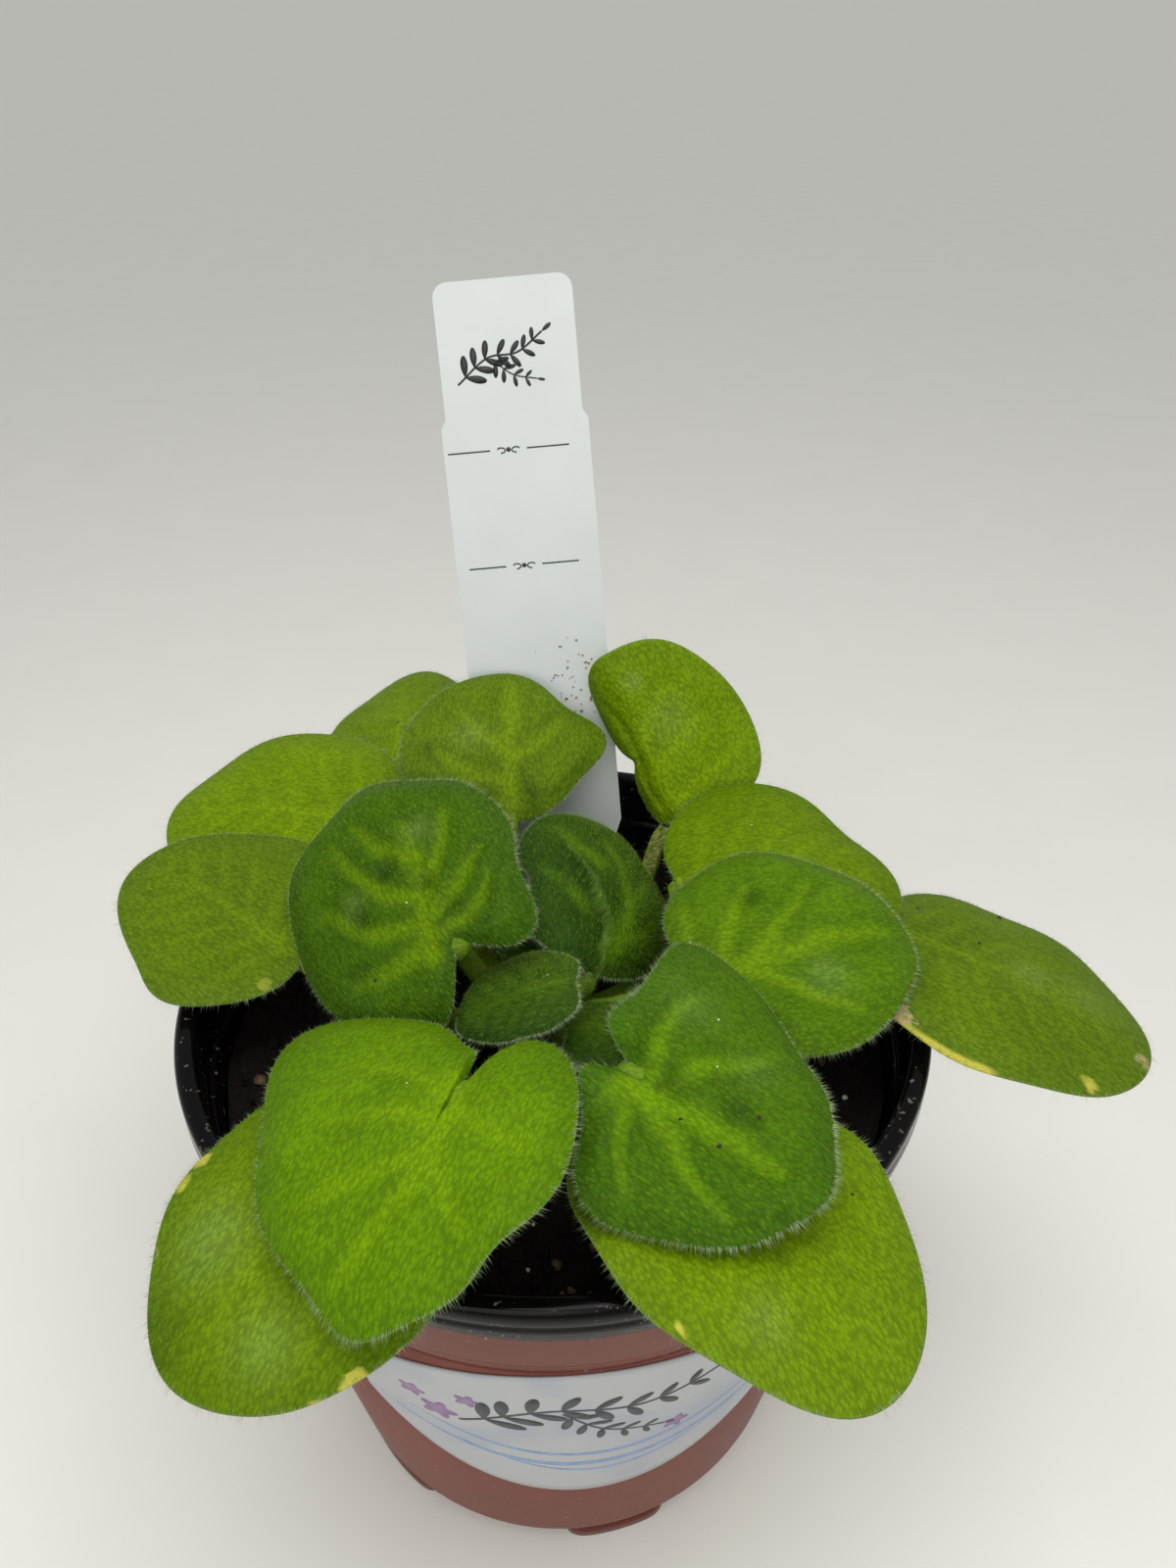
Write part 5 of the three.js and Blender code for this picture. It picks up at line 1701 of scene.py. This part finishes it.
@dataclass(frozen=True)
class Label:
    """A paper sticker on the wall, its lower edge bowed, printed with a plain sprig in soft inks."""

    pot: Pot
    low: float = 27.7
    high: float = 73.5
    start: float = -126.0
    end: float = -45.0
    middle: float = -86.0
    bow: float = 46.0
    sag: float = 0.0045
    back: float = 0.06
    front: float = 0.42
    columns: int = 141
    rows: int = 24
    print_radius: float = 50.2

    def at(self, degrees: Array, z: Array, out: Array) -> Array:
        """The point at an angle and a height, out from the wall's skin."""
        return polar(self.pot.wall_radius(z) + out, np.radians(degrees), z)

    def printed(self, across: Array, z: Array, out: Array) -> Array:
        """The point at a distance round the wall from the label's middle, and a height."""
        return self.at(self.middle + np.degrees(across / self.print_radius), z, out)

    def make(self) -> None:
        """The sticker as a grid of angle and height, out and back, closed at its edges.

        Its lower edge is half an ellipse below its upper edge, which sags a little towards the ends.
        """
        degrees = np.linspace(self.start, self.end, self.columns)[:, None]
        across = degrees - self.middle
        low = self.high - (self.high - self.low) * np.sqrt(1 - (across / self.bow) ** 2)
        high = self.high - self.sag * across**2
        share = np.concatenate([np.linspace(0, 1, self.rows), np.linspace(1, 0, self.rows)])
        out = np.repeat([self.front, self.back], self.rows)
        z = low + (high - low) * share
        sheet = Shell(*closed_loft(self.at(degrees, z, out)[:, ::-1]))
        add_piece("label_paper", [sheet], [PAPER], ["pot_label"])
        self.print_sprig()

    def print_sprig(self) -> None:
        """A long leafy sprig with small round blossoms over three pale swooshes."""
        press = Press(self.printed, self.front)
        t = np.linspace(0, 1, 60)
        shells = []
        swooshes = ((-30, 31, 50, 10), (-27, 29, 53, 9), (-20, 24, 46, 9))
        for k, (left, right, level, sag) in enumerate(swooshes):
            line = np.stack([left + (right - left) * t, level - sag * np.sin(np.pi * t)], -1)
            shells.append(press.ribbon(line, (1.3 - 0.35 * k) * np.sin(np.pi * np.clip(t, 0.03, 0.97)), 1))
        knots = np.array([(-19.0, 54.0), (-6.0, 61.5), (8.0, 60.5), (22.0, 65.5)])
        shells += press.sprig(knots, 9, 6.4)
        shells += press.sprig(np.array([(-4.0, 60.5), (2.0, 53.5), (11.0, 50.0)]), 5, 4.4)
        turn = full_turn(30)
        for x, y, size in ((-22, 55.5, 2.4), (-25.5, 60, 1.7), (-17, 62, 1.6), (13, 49, 1.7)):
            petals = size * (1 + 0.28 * np.cos(5 * turn))
            bloom = np.stack([x + petals * np.cos(turn), y + petals * np.sin(turn)], -1)
            shells.append(press.patch(bloom, 2))
        inks = [
            grained("dark_grey_ink", "#34373B", "#4A4E53", 0.5),
            grained("pale_blue_ink", "#8FA6C8", "#7C95BC", 0.5),
            grained("mauve_ink", "#9B7FA2", "#8A6E93", 0.5),
        ]
        add_piece("label_sprig_print", shells, inks, [])


@dataclass(frozen=True)
class Tag:
    """The white plastic stake: its solid stays, and gets a finish, a printed sprig, rules and soil specks."""

    lean_back: float = 21.5
    lean_side: float = -4.2
    foot: Point = (1.2, 37.4, 80.5)
    thickness: float = 0.8

    def at(self, across: Array, up: Array, out: Array) -> Array:
        """Places on the tag, leaned back and to the side from where it leaves the soil.

        Args:
            across: distances across the tag from its middle.
            up: distances up it from the soil.
            out: distances out of its middle, to its front.

        Returns:
            The points.
        """
        back, side = math.radians(self.lean_back), math.radians(self.lean_side)
        x = across + 0 * up
        y = up * math.sin(back) - out * math.cos(back)
        z = up * math.cos(back) + out * math.sin(back)
        leaned_x = x * math.cos(side) + z * math.sin(side)
        leaned_z = -x * math.sin(side) + z * math.cos(side)
        return np.array(self.foot) + np.stack([leaned_x, y, leaned_z], -1)

    def ornament(self, press: Press, x: float, up: float) -> list[Shell]:
        """Two mirrored curls with a dot between them, as on any printed rule.

        Args:
            press: what prints on the tag.
            x: the ornament's middle across the tag.
            up: its middle up the tag.

        Returns:
            The curls and the dot.
        """
        turn = np.linspace(0.2, 4.6, 18)
        curl = np.stack([(0.3 + 0.2 * turn) * np.cos(turn), 0.75 * (0.3 + 0.1 * turn) * np.sin(turn)], -1)
        shells = [press.ribbon(np.array([x, up]) + curl * [s, 1.0] + [1.5 * s, 0.0], 0.22) for s in (1, -1)]
        ring = full_turn(12)
        dot = np.stack([x + 0.4 * np.cos(ring), up + 0.4 * np.sin(ring)], -1)
        return [*shells, press.patch(dot)]

    def make(self) -> None:
        """Dresses the solid and lays the print and the specks on its front."""
        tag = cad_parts["plant_tag"]
        tag.data.materials.clear()
        tag.data.materials.append(WHITE_STYRENE.material())
        press = Press(self.at, self.thickness / 2)
        prints = []
        for left, right, middle, up in ((-12.0, 9.0, -1.5, 79.8), (-10.4, 9.0, -0.7, 60.0)):
            for start, end in ((left, middle - 3.2), (middle + 3.2, right)):
                line = np.stack([np.linspace(start, end, 12), np.full(12, up)], -1)
                prints.append(press.ribbon(line, 0.24))
            prints += self.ornament(press, middle, up)
        prints += press.sprig(np.array([(-9.0, 91.0), (-3.5, 95.0), (1.5, 95.5), (6.0, 98.5)]), 7, 3.7)
        prints += press.sprig(np.array([(-3.0, 94.8), (0.5, 92.0), (4.5, 91.0)]), 4, 2.6)
        add_piece("tag_print", prints, [grained("black_ink", "#1E1F20", "#2C2D2E", 0.5)], [])
        rng = np.random.default_rng(SEED + 5)
        count = 46
        across = np.clip(rng.normal(5, 4.0, count), -11, 11.5)
        up = rng.normal(37, 4.0, count)
        size = rng.uniform(0.1, 0.3, count)
        centres = self.at(across, up, np.full(count, self.thickness / 2 + 0.05))
        crumbs = scattered_lumps(centres, size, 31, squash=0.6)
        splash = grained("dried_soil_splash", "#8E7248", "#644E2E")
        add_piece("tag_soil_splashes", [crumbs], [splash], [])


# Studio


@dataclass(frozen=True)
class Studio:
    """A wide pale floor, soft lights, and the camera of the photograph, whose frame the floor fills."""

    camera_place: Point = (0.0, -132.74, 220.75)
    pitch: float = 34.47
    yaw: float = 2.25
    roll: float = -0.18
    lens: float = 26.73
    floor_reach: float = 60000.0

    def floor(self) -> None:
        """One level sheet, wide enough to reach the frame's top edge."""
        reach = self.floor_reach
        corners = np.array([(x * reach, y * reach, 0.0) for x, y in ((-1, -1), (1, -1), (1, 1), (-1, 1))])
        sheet = Shell(corners, np.array([(0, 1, 2), (0, 2, 3)]))
        build_object("studio_floor", [sheet], [CARD.material()])

    def camera(self) -> None:
        """Places the camera from its pitch, yaw and roll."""
        pitch, yaw, roll = (math.radians(v) for v in (self.pitch, self.yaw, self.roll))
        ahead = np.array([math.sin(yaw) * math.cos(pitch), math.cos(yaw) * math.cos(pitch), -math.sin(pitch)])
        side = np.array([math.cos(yaw), -math.sin(yaw), 0.0])
        up = np.cross(side, ahead)
        right = math.cos(roll) * side + math.sin(roll) * up
        top = -math.sin(roll) * side + math.cos(roll) * up
        data = bpy.data.cameras.new("photo_camera")
        data.sensor_width, data.sensor_fit, data.lens = 36.0, "AUTO", self.lens
        data.clip_start, data.clip_end = 0.01, 100
        camera = bpy.data.objects.new("photo_camera", data)
        turn = Matrix((right, top, -ahead)).transposed().to_4x4()
        camera.matrix_world = Matrix.Translation((np.array(self.camera_place) + AXIS) * MM) @ turn
        bpy.context.scene.collection.objects.link(camera)
        bpy.context.scene.camera = camera

    def light(self, name: str, place: Point, aim: Point, size: Pair, power: float) -> None:
        """Adds a white rectangular soft light.

        Args:
            name: its name.
            place: where it hangs, in millimetres.
            aim: the point that it faces.
            size: its width and height.
            power: its power in watts.
        """
        data = bpy.data.lights.new(name, "AREA")
        data.shape, data.size, data.size_y = "RECTANGLE", size[0] * MM, size[1] * MM
        data.energy, data.color = power, (1.0, 1.0, 1.0)
        lamp = bpy.data.objects.new(name, data)
        back = unit(np.array(place, float) - np.array(aim))
        side = unit(np.cross([0.0, 1.0, 0.001], back))
        turn = Matrix((side, np.cross(back, side), back)).transposed().to_4x4()
        lamp.matrix_world = Matrix.Translation((np.array(place) + AXIS) * MM) @ turn
        bpy.context.scene.collection.objects.link(lamp)

    def make(self) -> None:
        """Builds the floor, the lights, the pale surroundings and the camera."""
        self.floor()
        self.light("overhead_soft", (30, -60, 490), (0, -15, 60), (350, 270), 0.95)
        self.light("front_soft", (-150, -400, 330), (0, -20, 40), (420, 300), 0.66)
        self.light("strip_soft", (20, -330, 470), (0, -40, 80), (300, 22), 0.14)
        world = bpy.data.worlds.new("pale_room")
        world.use_nodes = True
        world.node_tree.nodes["Background"].inputs["Color"].default_value = srgb("#FAFAFA")
        world.node_tree.nodes["Background"].inputs["Strength"].default_value = 0.58
        bpy.context.scene.world = world
        bpy.context.scene.view_settings.view_transform = "Standard"
        self.camera()


def main() -> None:
    """Builds every piece in order."""
    logging.basicConfig(level=logging.INFO, format="%(name)s: %(message)s")
    Studio().make()
    pot = Pot()
    pot.make()
    Label(pot).make()
    Soil(pot).make()
    Tag().make()
    Crown().make()
    for leaf in LEAVES:
        leaf.make()


if __name__ == "__main__":
    main()
